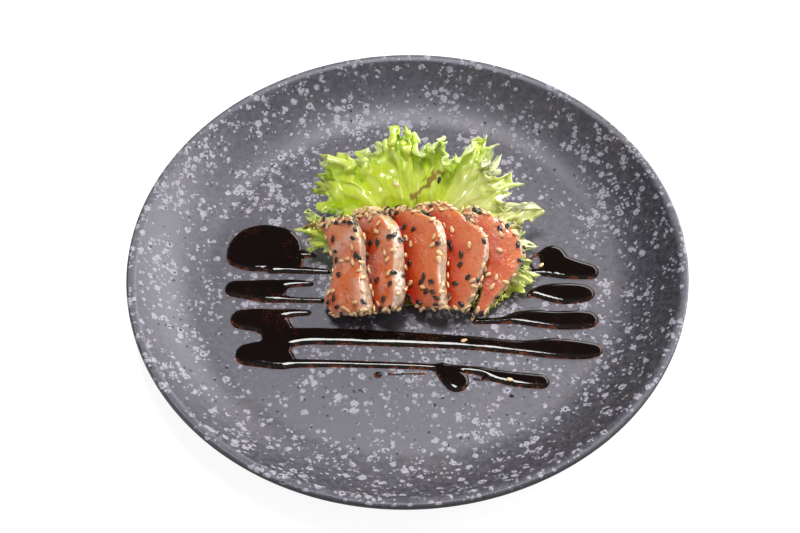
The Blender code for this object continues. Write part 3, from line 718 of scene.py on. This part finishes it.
def sauce_grid(strokes):
    """Grid points x and y, those of the border moved onto the outline, and its inner cells."""
    spots = np.array([spot for chain in strokes for spot in chain])
    low = spots[:, :2].min(axis=0) - SAUCE_MARGIN
    high = spots[:, :2].max(axis=0) + SAUCE_MARGIN
    x, y = np.meshgrid(np.arange(low[0], high[0], SAUCE_CELL),
                       np.arange(low[1], high[1], SAUCE_CELL), indexing="ij")
    middle = SAUCE_CELL / 2
    inside = stroke_distance(x[:-1, :-1] + middle, y[:-1, :-1] + middle, strokes) < 0
    cells = np.zeros(x.shape)
    for i, j in ((0, 0), (0, 1), (1, 0), (1, 1)):
        cells[i:i + inside.shape[0], j:j + inside.shape[1]] += inside
    edge = (cells > 0) & (cells < 4)
    ex, ey = x[edge], y[edge]
    step = 0.05
    for _ in range(3):
        gap = stroke_distance(ex, ey, strokes)
        slope_x = (stroke_distance(ex + step, ey, strokes) - gap) / step
        slope_y = (stroke_distance(ex, ey + step, strokes) - gap) / step
        steep = np.maximum(slope_x ** 2 + slope_y ** 2, 0.3)
        ex = ex - gap * slope_x / steep
        ey = ey - gap * slope_y / steep
    x[edge], y[edge] = ex, ey
    return x, y, inside, cells


class TATAKI_OT_sauce(bpy.types.Operator):
    """Pour the strokes of sauce onto the plate's floor"""
    bl_idname = "tataki.sauce"
    bl_label = "Sauce"

    def execute(self, context):
        settings = context.scene.tataki_sauce
        strokes = list(STROKES.values()) + list(SMEARS.values())
        x, y, inside, cells = sauce_grid(strokes)
        used = cells > 0
        order = np.full(x.shape, -1)
        order[used] = np.arange(used.sum())
        shoulder, bead = settings.shoulder / MM, settings.bead / MM
        inward = np.clip(-stroke_distance(x[used], y[used], strokes), 0, shoulder)
        inward[cells[used] < 4] = 0.0
        swell = noise_field(np.stack([x[used], y[used], 0 * inward], axis=-1), 14.0)
        rise = bead * np.sqrt(1 - (1 - inward / shoulder) ** 2) * (0.93 + 0.07 * swell)
        top = np.stack([x[used], y[used], FLOOR_Z + rise], axis=-1)
        bottom = np.stack([x[used], y[used], np.full(rise.shape, FLOOR_Z - SAUCE_SINK)], axis=-1)
        count = len(top)
        i, j = np.nonzero(inside)
        quads = np.stack([order[i, j], order[i + 1, j], order[i + 1, j + 1], order[i, j + 1]],
                         axis=-1)
        faces = quads.tolist() + (quads[:, ::-1] + count).tolist()
        edges = dict.fromkeys((a, b) for quad in quads.tolist()
                              for a, b in zip(quad, quad[1:] + quad[:1]))
        faces += [(b, a, a + count, b + count) for a, b in edges if (b, a) not in edges]
        sauce = add_piece("sauce", np.concatenate([top, bottom]), faces, sauce_finish(settings))
        store(sauce, depth=np.concatenate([rise, rise]) / bead)
        finish_piece(sauce, "sauce", "plate")
        return {"FINISHED"}


# ================================================================ salmon
def section_shape(tau):
    """Places across and up a rounded section, from -1 to 1, at angles round it."""
    return [np.sign(part) * np.abs(part) ** (2 / SECTION_POWER)
            for part in (np.cos(tau), np.sin(tau))]


class Slice:
    """Surface of one slice: u runs from its near end to its far end, tau round its section."""

    def __init__(self, spec):
        self.spec = spec
        self.length = spec["length"]
        self.width = max(spec["right"]) - min(spec["left"])
        self.thick = max(spec["thick"])
        rise, lean = math.radians(spec["rise"]), math.radians(spec["lean"])
        x, y, lift = spec["near"]
        self.corner = np.array((x, y, FLOOR_Z + SLICE_GAP + lift))
        self.along = np.array((0, math.cos(rise), math.sin(rise)))
        level = np.array((1, 0, 0))
        up = np.cross(level, self.along)
        self.across = level * math.cos(lean) + up * math.sin(lean)
        self.normal = up * math.cos(lean) - level * math.sin(lean)

    def section(self, u):
        """Middle, half width and height of the section at u, and how full it still is."""
        left, right, high = (spread(self.spec[key], u) for key in ("left", "right", "thick"))
        end = np.abs(2 * u - 1)
        plan = np.maximum(0.0, 1 - end ** PLAN_POWER) ** (1 / PLAN_POWER)
        deep = np.maximum(0.0, 1 - end ** THICKNESS_POWER) ** (1 / THICKNESS_POWER)
        return (left + right) / 2, (right - left) / 2 * plan, high, deep, plan

    def points(self, u, tau):
        """Points of the surface, for arrays that fit each other."""
        middle, half, high, deep, plan = self.section(u)
        aside, aloft = section_shape(tau)
        across = middle + half * aside
        least = np.where(np.sin(tau) > 0, TOP_LEAST, UNDER_LEAST)
        full = (least + (1 - least) * deep) * np.minimum(1.0, plan / 0.6)
        height = high / 2 * (1 + full * aloft)
        u, across, height = np.broadcast_arrays(u, across, height)
        return (self.corner + self.along * (u * self.length)[..., None]
                + self.across * across[..., None] + self.normal * height[..., None])

    def outward(self, u, tau):
        """Normals of the surface."""
        step = 0.004
        along = self.points(np.minimum(u + step, 0.9985), tau)
        along = along - self.points(np.maximum(u - step, 0.0015), tau)
        around = self.points(u, tau + step) - self.points(u, tau - step)
        normal = np.cross(along, around)
        size = np.linalg.norm(normal, axis=-1, keepdims=True)
        return normal / np.maximum(size, 1e-9)


def even_turns(half_width, half_height, count):
    """Angles that stand evenly round a section of the slices' shape."""
    tau = np.linspace(0, math.tau, 4001)
    aside, aloft = section_shape(tau)
    steps = np.hypot(np.diff(half_width * aside), np.diff(half_height * aloft))
    run = np.concatenate([[0], np.cumsum(steps)])
    return np.interp(np.linspace(0, run[-1], count, endpoint=False), run, tau)


def slice_stations():
    """Stations along a slice: rings across both end faces, and even ones between them."""
    ends = np.array([(1 - ring ** PLAN_POWER) ** (1 / PLAN_POWER) for ring in END_RINGS])
    near = (1 - ends) / 2
    middle = np.linspace(near[-1], 1 - near[-1], MIDDLE_RINGS + 2)[1:-1]
    return np.concatenate([near, middle, (1 - near)[::-1]])


def slice_mesh(name, form, order, settings, finish):
    """Loft one slice, press its relief in, and store what colours it."""
    u, tau = np.meshgrid(slice_stations(), even_turns(form.width / 2, form.thick / 2, SLICE_SIDES),
                         indexing="ij")
    points = form.points(u, tau)
    outward = form.outward(np.clip(u, 0.004, 0.996), tau)
    aside, aloft = section_shape(tau)
    from_side = (1 - np.abs(aside)) * form.section(u)[1]
    from_far, from_near = (1 - u) * form.length, u * form.length
    wander = noise_field(points, 7.0, order) * 0.8 + noise_field(points, 2.6, order + 9) * 0.4
    margin = np.minimum(from_side, np.minimum(from_far * 0.55, from_near * 0.8)) + wander * 0.35
    sear = smooth_step(margin, 1.25, 0.15)
    rim = smooth_step(margin, 4.0, 0.2)
    crumb = noise_field(points, 1.7, order + 3) * 0.5 + noise_field(points, 0.9, order + 5) * 0.3
    sag = noise_field(points, 11.0, order + 20) * 0.5 - 0.45
    sag += noise_field(points * np.array((1.0, 0.5, 1.0)), 4.5, order + 25) * 0.35
    relief = settings.relief / MM
    press = sag - relief * sear * (0.55 + 0.9 * np.clip(crumb, -0.6, 0.8))
    grain = noise_field(points * np.array((1.0, 0.25, 0.6)), 1.4, order + 30)
    press -= (1 - sear) * 0.05 * np.clip(grain, 0, 1)
    points = points + outward * np.minimum(press, 0.0)[..., None]
    verts, faces = closed_loft(points)
    piece = add_piece(name, verts, faces, finish)
    pale = smooth_step(u, 0.35, 1.0) * 0.6 + 0.5 * noise_field(points, 9.0, order + 40)
    pale = pale + SLICE_PALES[order]
    fields = {"sear": sear, "rim": rim, "pale": np.clip(pale, 0, 1), "wall": (1 - aloft) / 2,
              # Painted shade: the flesh turns deep red towards the left edge, in the crevice next
              # to the slice on its left.
              "crevice_shade": smooth_step(1 - (1 + aside) / 2, 0.25, 0.85) * SLICE_CREVICE_SHADE[order],
              # Pale film on each face, partly real film and partly painted sheen.
              "film_and_sheen": np.full(sear.shape, SLICE_FILM_AND_SHEEN[order])}
    for key, values in fields.items():
        ends = [values[0].mean(), values[-1].mean()]
        store(piece, **{key: np.concatenate([values.ravel(), ends])})
    return piece


def salmon_finish(settings):
    """Raw orange flesh with painted crevice shade, a pale film partly painted as sheen, a pale
    margin, and a seared outside with a painted edge highlight.
    """
    wires = Finish("seared salmon", {
        "Metallic": 0.0, "IOR": 1.42, "Specular IOR Level": 0.45, "Coat Weight": 1.0,
        "Coat Roughness": 0.05, "Subsurface Weight": 0.16, "Subsurface Scale": 0.003,
        "Subsurface Radius": (1.0, 0.3, 0.12)})
    sear, rim, pale, wall, crevice_shade, film_and_sheen = wires.attributes("sear", "rim", "pale", "wall", "crevice_shade",
                                                        "film_and_sheen")
    flesh = wires.mix(wires.patches(95.0, 0.42, 0.68) * 0.35, settings.flesh, settings.deep)
    flesh = wires.mix(pale * 0.65, flesh, settings.pale)
    # Painted crevice shade: deep red towards each slice's left edge.
    flesh = wires.mix(crevice_shade * 0.95, flesh, settings.deep)
    flesh = wires.mix(rim * 0.45, flesh, settings.pale)
    # Pale film on the faces: partly real film, partly painted sheen.
    flesh = wires.mix(wires.patches(110.0, 0.46, 0.66) * film_and_sheen, flesh, settings.milky)
    crust = wires.mix(wires.patches(170.0, 0.46, 0.60) * 0.45, settings.seared, settings.pale)
    # Milky on the upper part of the seared sides: real white streaks of the sear, and a painted
    # highlight along the edge where the side meets the face.
    streak_and_edge_highlight = wires.math("ADD", wires.step(wall, 0.42, 0.06) * 0.45,
                        wires.patches(150.0, 0.47, 0.58) * 0.65, clamp=True)
    crust = wires.mix(streak_and_edge_highlight, crust, settings.milky)
    crust = wires.mix(wires.patches(130.0, 0.54, 0.64) * 0.75, crust, settings.browned)
    rough, height = wires.film(190.0, 0.16, 0.40)
    drops, _ = spot_field(wires, wires.place, 330.0, 0.3, 0.3)
    return wires.shade(wires.mix(sear, flesh, crust), rough + sear * 0.10, height + drops * 0.4,
                       0.0008)


class TATAKI_OT_salmon(bpy.types.Operator):
    """Cut and sear the five slices"""
    bl_idname = "tataki.salmon"
    bl_label = "Salmon"

    def execute(self, context):
        settings = context.scene.tataki_salmon
        finish = salmon_finish(settings)
        for order, (name, spec) in enumerate(SLICES.items()):
            piece = slice_mesh("salmon_" + name, Slice(spec), order, settings, finish)
            finish_piece(piece, "salmon", name)
        return {"FINISHED"}


# ================================================================ lettuce
def ceiling_under(pieces):
    """Grid of the lowest height of the pieces over the table, in millimetres."""
    trees = [tree_of(piece) for piece in pieces]
    xs, ys = (np.arange(low, high, UNDER_CELL) for low, high in zip(UNDER_LOW, UNDER_HIGH))
    grid = np.full((len(xs), len(ys)), OPEN_CEILING)
    for i, x in enumerate(xs):
        for j, y in enumerate(ys):
            start = Vector((x, y, FLOOR_Z)) * MM
            for tree in trees:
                hit = tree.ray_cast(start, Vector((0, 0, 1)))[0]
                if hit:
                    grid[i, j] = min(grid[i, j], hit.z / MM)
    reach = round(UNDER_REACH / UNDER_CELL)
    lowest = grid.copy()
    for i in range(-reach, reach + 1):
        for j in range(-reach, reach + 1):
            if i * i + j * j <= reach * reach:
                lowest = np.minimum(lowest, np.roll(grid, (i, j), axis=(0, 1)))
    return lowest


def hold_under(points, ceiling, room):
    """Keep points of the leaf under the slices and over the plate."""
    i, j = (np.clip(np.rint((points[..., k] - UNDER_LOW[k]) / UNDER_CELL).astype(int), 0,
                    ceiling.shape[k] - 1) for k in (0, 1))
    points[..., 2] = np.minimum(points[..., 2], ceiling[i, j] - room)
    points[..., 2] = np.maximum(points[..., 2], FLOOR_Z + room)
    return points


def leaf_points(degrees, out):
    """Points of the leaf for arrays: out is 0 at its middle and 1 at its edge."""
    edge = smooth_chain(LEAF_EDGE, 2.0)
    radius, height, curve = (np.interp(-degrees, -edge[:, 0], edge[:, k]) for k in (1, 2, 3))
    azimuth = np.radians(degrees)
    ray = np.stack([np.cos(azimuth), np.sin(azimuth), 0 * azimuth], axis=-1)
    side = np.stack([-np.sin(azimuth), np.cos(azimuth), 0 * azimuth], axis=-1)
    away = ray * (radius * out)[..., None]
    bed = BED_HEIGHT + away[..., 0] * BED_SLOPE[0] + away[..., 1] * BED_SLOPE[1]
    bed_radius = 1 / np.hypot(ray[..., 0] / BED_RADII[0], ray[..., 1] / BED_RADII[1])
    turned = np.maximum(0.0, (radius * out - bed_radius) / (radius - bed_radius)) ** curve
    spot = away + np.array((*LEAF_CENTRE, 0.0))
    spot[..., 2] = bed + (height - bed) * turned
    for place, depth, width in LEAF_CREASES:
        spot[..., 2] -= depth * np.exp(-((degrees - place) / width) ** 2) * np.sin(out * 2.4)
    lift = np.array((0.0, 0.0, 1.0)) - ray * (0.6 * np.minimum(1.0, height / 40))[..., None]
    free = np.clip((height - 7.0) / 5, 0, 1)

    def wave(width, reach, shift):
        """Smooth noise over the leaf, of one width along its edge and one length outwards."""
        place = np.concatenate([ray[..., :2] * 55 / width, (out * 45 / reach)[..., None]],
                               axis=-1)
        return noise_field(place, 1.0, shift)

    def push(direction, amount):
        return direction * (free * amount)[..., None]

    bent = azimuth + 0.05 * np.sin(7 * azimuth + 1)
    shift = 1
    for count, high, start in (LEAF_FOLDS, LEAF_RUFFLES, LEAF_FRILLS):
        phase = count * bent + 4.5 * wave(330 / count, 300 / count, shift)
        grown = high * smooth_step(out, start, 1.0) ** 1.2
        grown = grown * (1 + 1.1 * wave(500 / count, 40, shift + 1))
        spot = spot + push(lift, grown * np.sin(phase))
        spot -= push(side, 0.55 * grown * np.sin(2 * phase))
        shift += 2
    for count, reach, start in (LEAF_LOBES, LEAF_TEETH):
        phase = count * bent + 3.5 * wave(400 / count, 90, shift)
        peak = 0.5 - np.abs(np.sin(phase)) ** 0.8
        peak = peak * (1 + 1.2 * wave(300 / count, 90, shift + 1))
        spot += push(ray + 0.4 * side * np.cos(phase)[..., None],
                     reach * smooth_step(out, start, 1.0) * peak)
        shift += 2
    width, reach, start = LEAF_CURLS
    curl = smooth_step(wave(width, 60, 15), 0.0, 0.22) * smooth_step(out, start, 1.0)
    spot += push(lift * 0.9 - ray, reach * curl ** 2)
    blister = wave(5.5, 6, 16) * 1.0 + wave(2.6, 3, 17) * 0.45
    spot += push(lift, blister * smooth_step(out, 0.2, 0.6))
    rib = LEAF_RIBS * bent + 2.0 * wave(20, 15, 18)
    ribs = np.clip(np.sin(rib), 0, 1) ** 4 * smooth_step(out, 0.12, 0.35)
    ribs = ribs * smooth_step(out, 0.9, 0.5)
    spot += push(lift, 0.3 * ribs)
    return spot, ribs, curl


def leaf_stain(points):
    """How much sauce lies on each point of the leaf, from 0 to 1."""
    total = np.zeros(points.shape[:-1])
    for start, end, half in LEAF_STAINS:
        start, run = np.array(start), np.array(end) - np.array(start)
        away = points[..., :2] - start
        share = np.clip(away @ run / (run @ run), 0, 1)
        gap = np.linalg.norm(away - share[..., None] * run, axis=-1)
        gap = gap + 2.2 * noise_field(points, 2.4, 21)
        total = np.maximum(total, smooth_step(gap, half, half * 0.4))
    return total


def lettuce_finish(settings):
    """Crisp wet leaf: yellow-green heart, fresh frills with painted highlight patches, pale curls
    and ribs, stains of sauce.
    """
    wires = Finish("lettuce leaf", {
        "Metallic": 0.0, "IOR": 1.42, "Specular IOR Level": 0.5, "Coat Weight": 0.8,
        "Coat Roughness": 0.07, "Subsurface Weight": 0.7, "Subsurface Scale": 0.003,
        "Subsurface Radius": (0.7, 1.0, 0.25)})
    frill, light, ribs, curl, stain = wires.attributes("frill", "light", "ribs", "curl", "stain")
    # Pale curl backs are real; the pale patches on the frills are painted highlights.
    milky = wires.larger(frill * wires.patches(190.0, 0.54, 0.64), curl * 0.8)
    base = wires.mix(frill, settings.heart, settings.frill)
    base = wires.mix(wires.patches(120.0, 0.34, 0.66) * 0.3, base, settings.deep)
    base = wires.mix(light * 0.7, base, settings.light)
    base = wires.mix(ribs * 0.28, base, settings.light)
    base = wires.mix(milky * 0.4, base, settings.milky)
    base = wires.mix(stain * 0.88, base, settings.stain)
    rough, height = wires.film(260.0, 0.12, 0.36)
    rough = wires.math("SUBTRACT", rough, stain * 0.1, clamp=True)
    return wires.shade(base, rough, height, 0.00035)


class TATAKI_OT_lettuce(bpy.types.Operator):
    """Grow the frilled leaf that lies under the slices"""
    bl_idname = "tataki.lettuce"
    bl_label = "Lettuce"

    def execute(self, context):
        settings = context.scene.tataki_lettuce
        blade = settings.blade / MM
        turns = np.concatenate([np.linspace(start, end, count, endpoint=False)
                                for (start, end), count in LEAF_SPANS])
        rings = (np.arange(1, LEAF_RINGS + 1) / LEAF_RINGS) ** 0.8
        degrees, out = np.meshgrid(turns, rings, indexing="ij")
        points, ribs, curl = leaf_points(degrees, out)
        middle = leaf_points(np.array([0.0]), np.array([0.0]))[0]
        slices = [bpy.data.objects["salmon_" + name] for name in SLICES]
        room = LEAF_CLEARANCE + blade / 2
        verts = np.concatenate([points.reshape(-1, 3), middle])
        verts = hold_under(verts, ceiling_under(slices), room)
        i, j = np.meshgrid(np.arange(len(turns)), np.arange(LEAF_RINGS - 1), indexing="ij")
        here, there = i * LEAF_RINGS + j, (i + 1) % len(turns) * LEAF_RINGS + j
        faces = np.stack([here, there, there + 1, here + 1], axis=-1).reshape(-1, 4).tolist()
        centre = len(verts) - 1
        faces += [(centre, (k + 1) % len(turns) * LEAF_RINGS, k * LEAF_RINGS)
                  for k in range(len(turns))]
        leaf = add_piece("lettuce_leaf", verts, faces, lettuce_finish(settings))
        side = smooth_step(degrees, 62, 40) * smooth_step(degrees, -30, 0)
        side = np.clip(side + 0.3 * noise_field(points, 10.0, 31), 0, 1)
        fields = {"frill": smooth_step(out, 0.55, 0.95), "light": side, "ribs": ribs,
                  "curl": curl, "stain": leaf_stain(points)}
        for key, values in fields.items():
            store(leaf, **{key: np.append(values.ravel(), 0.0)})
        wall = leaf.modifiers.new("blade", "SOLIDIFY")
        wall.thickness = settings.blade
        wall.offset = 0.0
        keep_evaluated(leaf)
        finish_piece(leaf, "lettuce", "lettuce")
        return {"FINISHED"}


def keep_evaluated(piece):
    """Replace a mesh by its evaluated one, and drop its modifiers."""
    depsgraph = bpy.context.evaluated_depsgraph_get()
    mesh = bpy.data.meshes.new_from_object(piece.evaluated_get(depsgraph))
    piece.modifiers.clear()
    piece.data = mesh


# ================================================================ sesame
def seed_tree():
    """Geometry nodes that set a drop-shaped seed on every point, flat on what is under it."""
    tree = bpy.data.node_groups.new("sesame seeds", "GeometryNodeTree")
    for name, kind, value in (("Sites", "Geometry", None), ("Length", "Float", 0.0036),
                              ("Width", "Float", 0.0023), ("Thickness", "Float", 0.0011),
                              ("Segments", "Int", 10), ("Rings", "Int", 7),
                              ("Size spread", "Float", 0.12), ("Draw", "Int", 1),
                              ("Finish", "Material", None)):
        socket = tree.interface.new_socket(name, in_out="INPUT", socket_type="NodeSocket" + kind)
        if value is not None:
            socket.default_value = value
    tree.interface.new_socket("Seeds", in_out="OUTPUT", socket_type="NodeSocketGeometry")
    wires = Wiring(tree)
    given = wires.node("NodeGroupInput")

    ball = wires.node("GeometryNodeMeshUVSphere", {
        "Segments": given["Segments"], "Rings": given["Rings"], "Radius": 1.0})["Mesh"]
    place = wires.node("ShaderNodeSeparateXYZ", {0: wires.node("GeometryNodeInputPosition")[0]})
    long, wide, thick = (given[name] * 0.5 for name in ("Length", "Width", "Thickness"))
    taper = 0.88 - place["Z"] * 0.24
    formed = wires.node("ShaderNodeCombineXYZ", {
        "X": place["Z"] * long, "Y": place["Y"] * taper * wide,
        "Z": place["X"] * taper * thick * -1.0})[0]
    seed = wires.node("GeometryNodeSetPosition", {"Geometry": ball, "Position": formed})[0]
    smooth = wires.node("GeometryNodeSetShadeSmooth", {"Geometry": seed})[0]

    def named(kind, name):
        return wires.node("GeometryNodeInputNamedAttribute", {"Name": name},
                          data_type=kind)["Attribute"]

    flat = wires.node("FunctionNodeAlignRotationToVector",
                      {"Vector": named("FLOAT_VECTOR", "outward")}, axis="Z")[0]
    spin = wires.node("FunctionNodeAxisAngleToRotation",
                      {"Axis": (0.0, 0.0, 1.0), "Angle": named("FLOAT", "spin")})[0]
    turned = wires.node("FunctionNodeRotateRotation", {"Rotation": flat, "Rotate By": spin},
                        rotation_space="LOCAL")[0]
    size = wires.node("FunctionNodeRandomValue", {
        "Min": 1.0 - given["Size spread"], "Max": given["Size spread"] + 1.0,
        "Seed": given["Draw"]}, data_type="FLOAT")[1]
    points = wires.node("GeometryNodeMeshToPoints", {"Mesh": given["Sites"]})[0]
    placed = wires.node("GeometryNodeInstanceOnPoints", {
        "Points": points, "Instance": smooth, "Rotation": turned, "Scale": size})[0]
    real = wires.node("GeometryNodeRealizeInstances", {"Geometry": placed})[0]
    painted = wires.node("GeometryNodeSetMaterial",
                         {"Geometry": real, "Material": given["Finish"]})[0]
    wires.node("NodeGroupOutput", {"Seeds": painted})
    return tree


def zone_place(zone, draw):
    """A random place (u, tau) in one zone of a slice."""
    if zone == "face":
        share = draw.uniform(-0.88, 0.93)
        tau = math.acos(math.copysign(abs(share) ** (SECTION_POWER / 2), share))
        return draw.uniform(0.05, 0.93), tau
    if zone == "side":
        return draw.uniform(0.04, 0.96), draw.uniform(-0.5, 0.75)
    if zone == "left_side":
        return draw.uniform(0.05, 0.95), math.pi + draw.uniform(-0.7, 0.5)
    if zone == "far_end":
        return draw.uniform(0.915, 0.9985), draw.uniform(-0.5, 3.6)
    return draw.uniform(0.0015, 0.05), draw.uniform(-0.2, 3.3)


def slice_sites(name, form, others, draw, share):
    """Sites of one slice's seeds, clear of all that lies over them, and which are black."""
    sites = []
    for zone, (wanted, spacing) in SEED_ZONES.items():
        found = 0
        if zone == "face":
            wanted = round(wanted * SEED_SHARE.get(name, 1.0))
        at_end = zone.endswith("end")
        black_share = SEED_END_BLACK if at_end else share
        for _ in range(SEED_TRIES):
            if found == wanted:
                break
            u, tau = zone_place(zone, draw)
            spot = form.points(np.float64(u), np.float64(tau))
            outward = form.outward(np.float64(u), np.float64(tau))
            spin = draw.uniform(0, math.tau)
            if any(np.linalg.norm(spot - other[0]) < spacing for other in sites):
                continue
            probe = Vector(spot + outward * 0.6) * MM
            if min(tree.find_nearest(probe)[3] for tree in others) < SEED_CLEARANCE * MM:
                continue
            tilt = np.array([draw.uniform(-1, 1) for _ in range(3)])
            tilt *= SEED_END_TILT if at_end else SEED_TILT
            lift = draw.uniform(*SEED_END_LIFT) if at_end else SEED_LIFT
            sites.append((spot + outward * lift, outward + tilt, spin,
                          draw.random() < black_share))
            found += 1
    return sites


def set_seeds(name, sites, tree, finish, settings):
    """Run the seed tree over a set of sites and keep the result as one plain piece."""
    mesh = bpy.data.meshes.new(name)
    mesh.from_pydata([tuple(spot * MM) for spot, _, _ in sites], [], [])
    outward = mesh.attributes.new("outward", "FLOAT_VECTOR", "POINT")
    outward.data.foreach_set("vector", np.array([site[1] for site in sites],
                                                np.float32).ravel())
    spin = mesh.attributes.new("spin", "FLOAT", "POINT")
    spin.data.foreach_set("value", np.array([site[2] for site in sites], np.float32))
    piece = add_object(name, mesh)
    sower = piece.modifiers.new("seeds", "NODES")
    sower.node_group = tree
    known = {item.name: item.identifier for item in tree.interface.items_tree
             if item.in_out == "INPUT"}
    for key, value in {"Length": settings.long, "Width": settings.wide,
                       "Thickness": settings.thick, "Draw": settings.draw,
                       "Finish": finish}.items():
        sower[known[key]] = value
    keep_evaluated(piece)
    return piece


def seed_finish(name, skin, glow):
    """Skin of a sesame seed: a little uneven, satin, with a shine of oil."""
    wires = Finish(name, {
        "Metallic": 0.0, "IOR": 1.45, "Coat Weight": 0.8, "Coat Roughness": 0.09,
        "Subsurface Weight": glow, "Subsurface Scale": 0.0008})
    dark = [channel * 0.72 for channel in skin]
    rough, height = wires.film(700.0, 0.22, 0.42)
    return wires.shade(wires.mix(wires.patches(420.0, 0.3, 0.7), dark, skin), rough, height,
                       0.00008)


class TATAKI_OT_sesame(bpy.types.Operator):
    """Scatter cream and black sesame over the slices, the leaf and the plate"""
    bl_idname = "tataki.sesame"
    bl_label = "Sesame"

    def execute(self, context):
        settings = context.scene.tataki_sesame
        draw = random.Random(settings.draw)
        trees = {name: tree_of(bpy.data.objects["salmon_" + name]) for name in SLICES}
        trees["leaf"] = tree_of(bpy.data.objects["lettuce_leaf"])
        trees["plate"] = tree_of(bpy.data.objects["plate_glaze"])
        cream, black = [], []
        for name, spec in SLICES.items():
            others = [tree for other, tree in trees.items() if other != name]
            for *site, dark in slice_sites(name, Slice(spec), others, draw, settings.share):
                (black if dark else cream).append(site)
        for x, y, rise, turn in PLATE_SEEDS:
            spot = np.array((x, y, FLOOR_Z + SEED_REST + rise))
            cream.append((spot, np.array((0.0, 0.0, 1.0)), math.radians(turn)))
        for degrees, out, is_black in LEAF_SEEDS:
            spot = leaf_points(np.array([float(degrees)]), np.array([out]))[0]
            above = Vector(spot[0]) * MM + Vector((0, 0, 0.003))
            hit, normal, _, _ = trees["leaf"].find_nearest(above)
            if normal.z < 0.3:
                raise RuntimeError("a seed on the leaf finds no level place on it")
            lying = np.array(hit) / MM + np.array(normal) * SEED_REST
            (black if is_black else cream).append((lying, np.array(normal),
                                                   draw.uniform(0, math.tau)))
        tree = seed_tree()
        kinds = {"sesame_cream": (cream, seed_finish("cream sesame", settings.cream, 0.15)),
                 "sesame_black": (black, seed_finish("black sesame", settings.black, 0.0))}
        for name, (sites, finish) in kinds.items():
            piece = set_seeds(name, sites, tree, finish, settings)
            finish_piece(piece, name, *SLICES, "plate")
        return {"FINISHED"}


# ================================================================ stage
def area_light(name, power, azimuth, elevation, distance, size):
    """A soft panel that looks at the middle of the plate."""
    lamp = bpy.data.lights.new(name, "AREA")
    lamp.shape = "RECTANGLE"
    lamp.size, lamp.size_y = size
    lamp.energy = power
    made = add_object(name, lamp)
    azimuth, elevation = math.radians(azimuth), math.radians(elevation)
    away = Vector((math.sin(azimuth) * math.cos(elevation),
                   math.cos(azimuth) * math.cos(elevation), math.sin(elevation)))
    made.location = away * distance
    made.rotation_euler = away.to_track_quat("Z", "Y").to_euler()
    made.visible_camera = False


def place_camera(settings):
    """The photograph's view."""
    lens = bpy.data.cameras.new("camera")
    lens.lens = settings.lens
    lens.sensor_width = SENSOR_WIDTH
    lens.clip_start = 0.01
    made = add_object("camera", lens)
    high, roll = settings.elevation, settings.roll
    back = Vector((0, -math.cos(high), math.sin(high)))
    level, upright = Vector((1, 0, 0)), Vector((0, math.sin(high), math.cos(high)))
    right = level * math.cos(roll) + upright * math.sin(roll)
    top = upright * math.cos(roll) - level * math.sin(roll)
    turn = Matrix((right, top, back)).transposed().to_4x4()
    target = Vector(CAMERA_TARGET) * MM
    made.matrix_world = Matrix.Translation(target + back * settings.distance) @ turn
    bpy.context.scene.camera = made


def place_sky(settings):
    """A white studio, brighter on the diner's side."""
    world = bpy.data.worlds.new("studio")
    world.use_nodes = True
    wires = Wiring(world.node_tree)
    toward = wires.node("ShaderNodeTexCoord")["Generated"]
    back = wires.step(wires.node("ShaderNodeSeparateXYZ", {0: toward})["Y"], *SKY_BAND)
    glow = wires.node("ShaderNodeMapRange", {"Value": back, "To Min": settings.front_glow,
                                             "To Max": settings.back_glow})[0]
    wires.feed(world.node_tree.nodes["Background"],
               {"Strength": glow, "Color": (1.0, 1.0, 1.0, 1.0)})
    bpy.context.scene.world = world


class TATAKI_OT_stage(bpy.types.Operator):
    """Set the pale floor, the soft lights and the camera"""
    bl_idname = "tataki.stage"
    bl_label = "Stage"

    def execute(self, context):
        settings = context.scene.tataki_stage
        finish = Finish("pale floor", {
            "Base Color": (*settings.ground, 1.0), "Roughness": 0.9, "Specular IOR Level": 0.1,
            "Emission Color": (1.0, 1.0, 1.0, 1.0), "Emission Strength": FLOOR_GLOW})
        corners = [(x * FLOOR_REACH, y * FLOOR_REACH, FLOOR_DROP)
                   for x, y in ((-1, -1), (1, -1), (1, 1), (-1, 1))]
        ground = add_piece("floor", corners, [(0, 1, 2, 3)], finish.material)
        area_light("window light", settings.window_power, *WINDOW_LIGHT)
        area_light("top light", settings.top_power, *TOP_LIGHT)
        place_sky(settings)
        context.scene.view_settings.view_transform = "Standard"
        place_camera(settings)
        return {"FINISHED"}


# ================================================================ panel and registration
SETTINGS = {"tataki_plate": PlateSettings, "tataki_sauce": SauceSettings,
            "tataki_salmon": SalmonSettings, "tataki_lettuce": LettuceSettings,
            "tataki_sesame": SesameSettings, "tataki_stage": StageSettings}
OPERATORS = (TATAKI_OT_plate, TATAKI_OT_sauce, TATAKI_OT_salmon, TATAKI_OT_lettuce,
             TATAKI_OT_sesame, TATAKI_OT_stage)


class TATAKI_PT_panel(bpy.types.Panel):
    """Settings and steps of the dish"""
    bl_idname = "TATAKI_PT_panel"
    bl_label = "Salmon tataki"
    bl_space_type = "VIEW_3D"
    bl_region_type = "UI"
    bl_category = "Tataki"

    def draw(self, context):
        for (name, group), step in zip(SETTINGS.items(), OPERATORS):
            box = self.layout.box()
            for key in group.__annotations__:
                box.prop(getattr(context.scene, name), key)
            box.operator(step.bl_idname)


CLASSES = (*SETTINGS.values(), *OPERATORS, TATAKI_PT_panel)


def register():
    for kind in CLASSES:
        bpy.utils.register_class(kind)
    for name, group in SETTINGS.items():
        setattr(bpy.types.Scene, name, PointerProperty(type=group))


def unregister():
    for name in SETTINGS:
        delattr(bpy.types.Scene, name)
    for kind in reversed(CLASSES):
        bpy.utils.unregister_class(kind)


def main():
    register()
    bpy.ops.tataki.plate()
    bpy.ops.tataki.sauce()
    bpy.ops.tataki.salmon()
    bpy.ops.tataki.lettuce()
    bpy.ops.tataki.sesame()
    bpy.ops.tataki.stage()


if __name__ == "__main__":
    main()
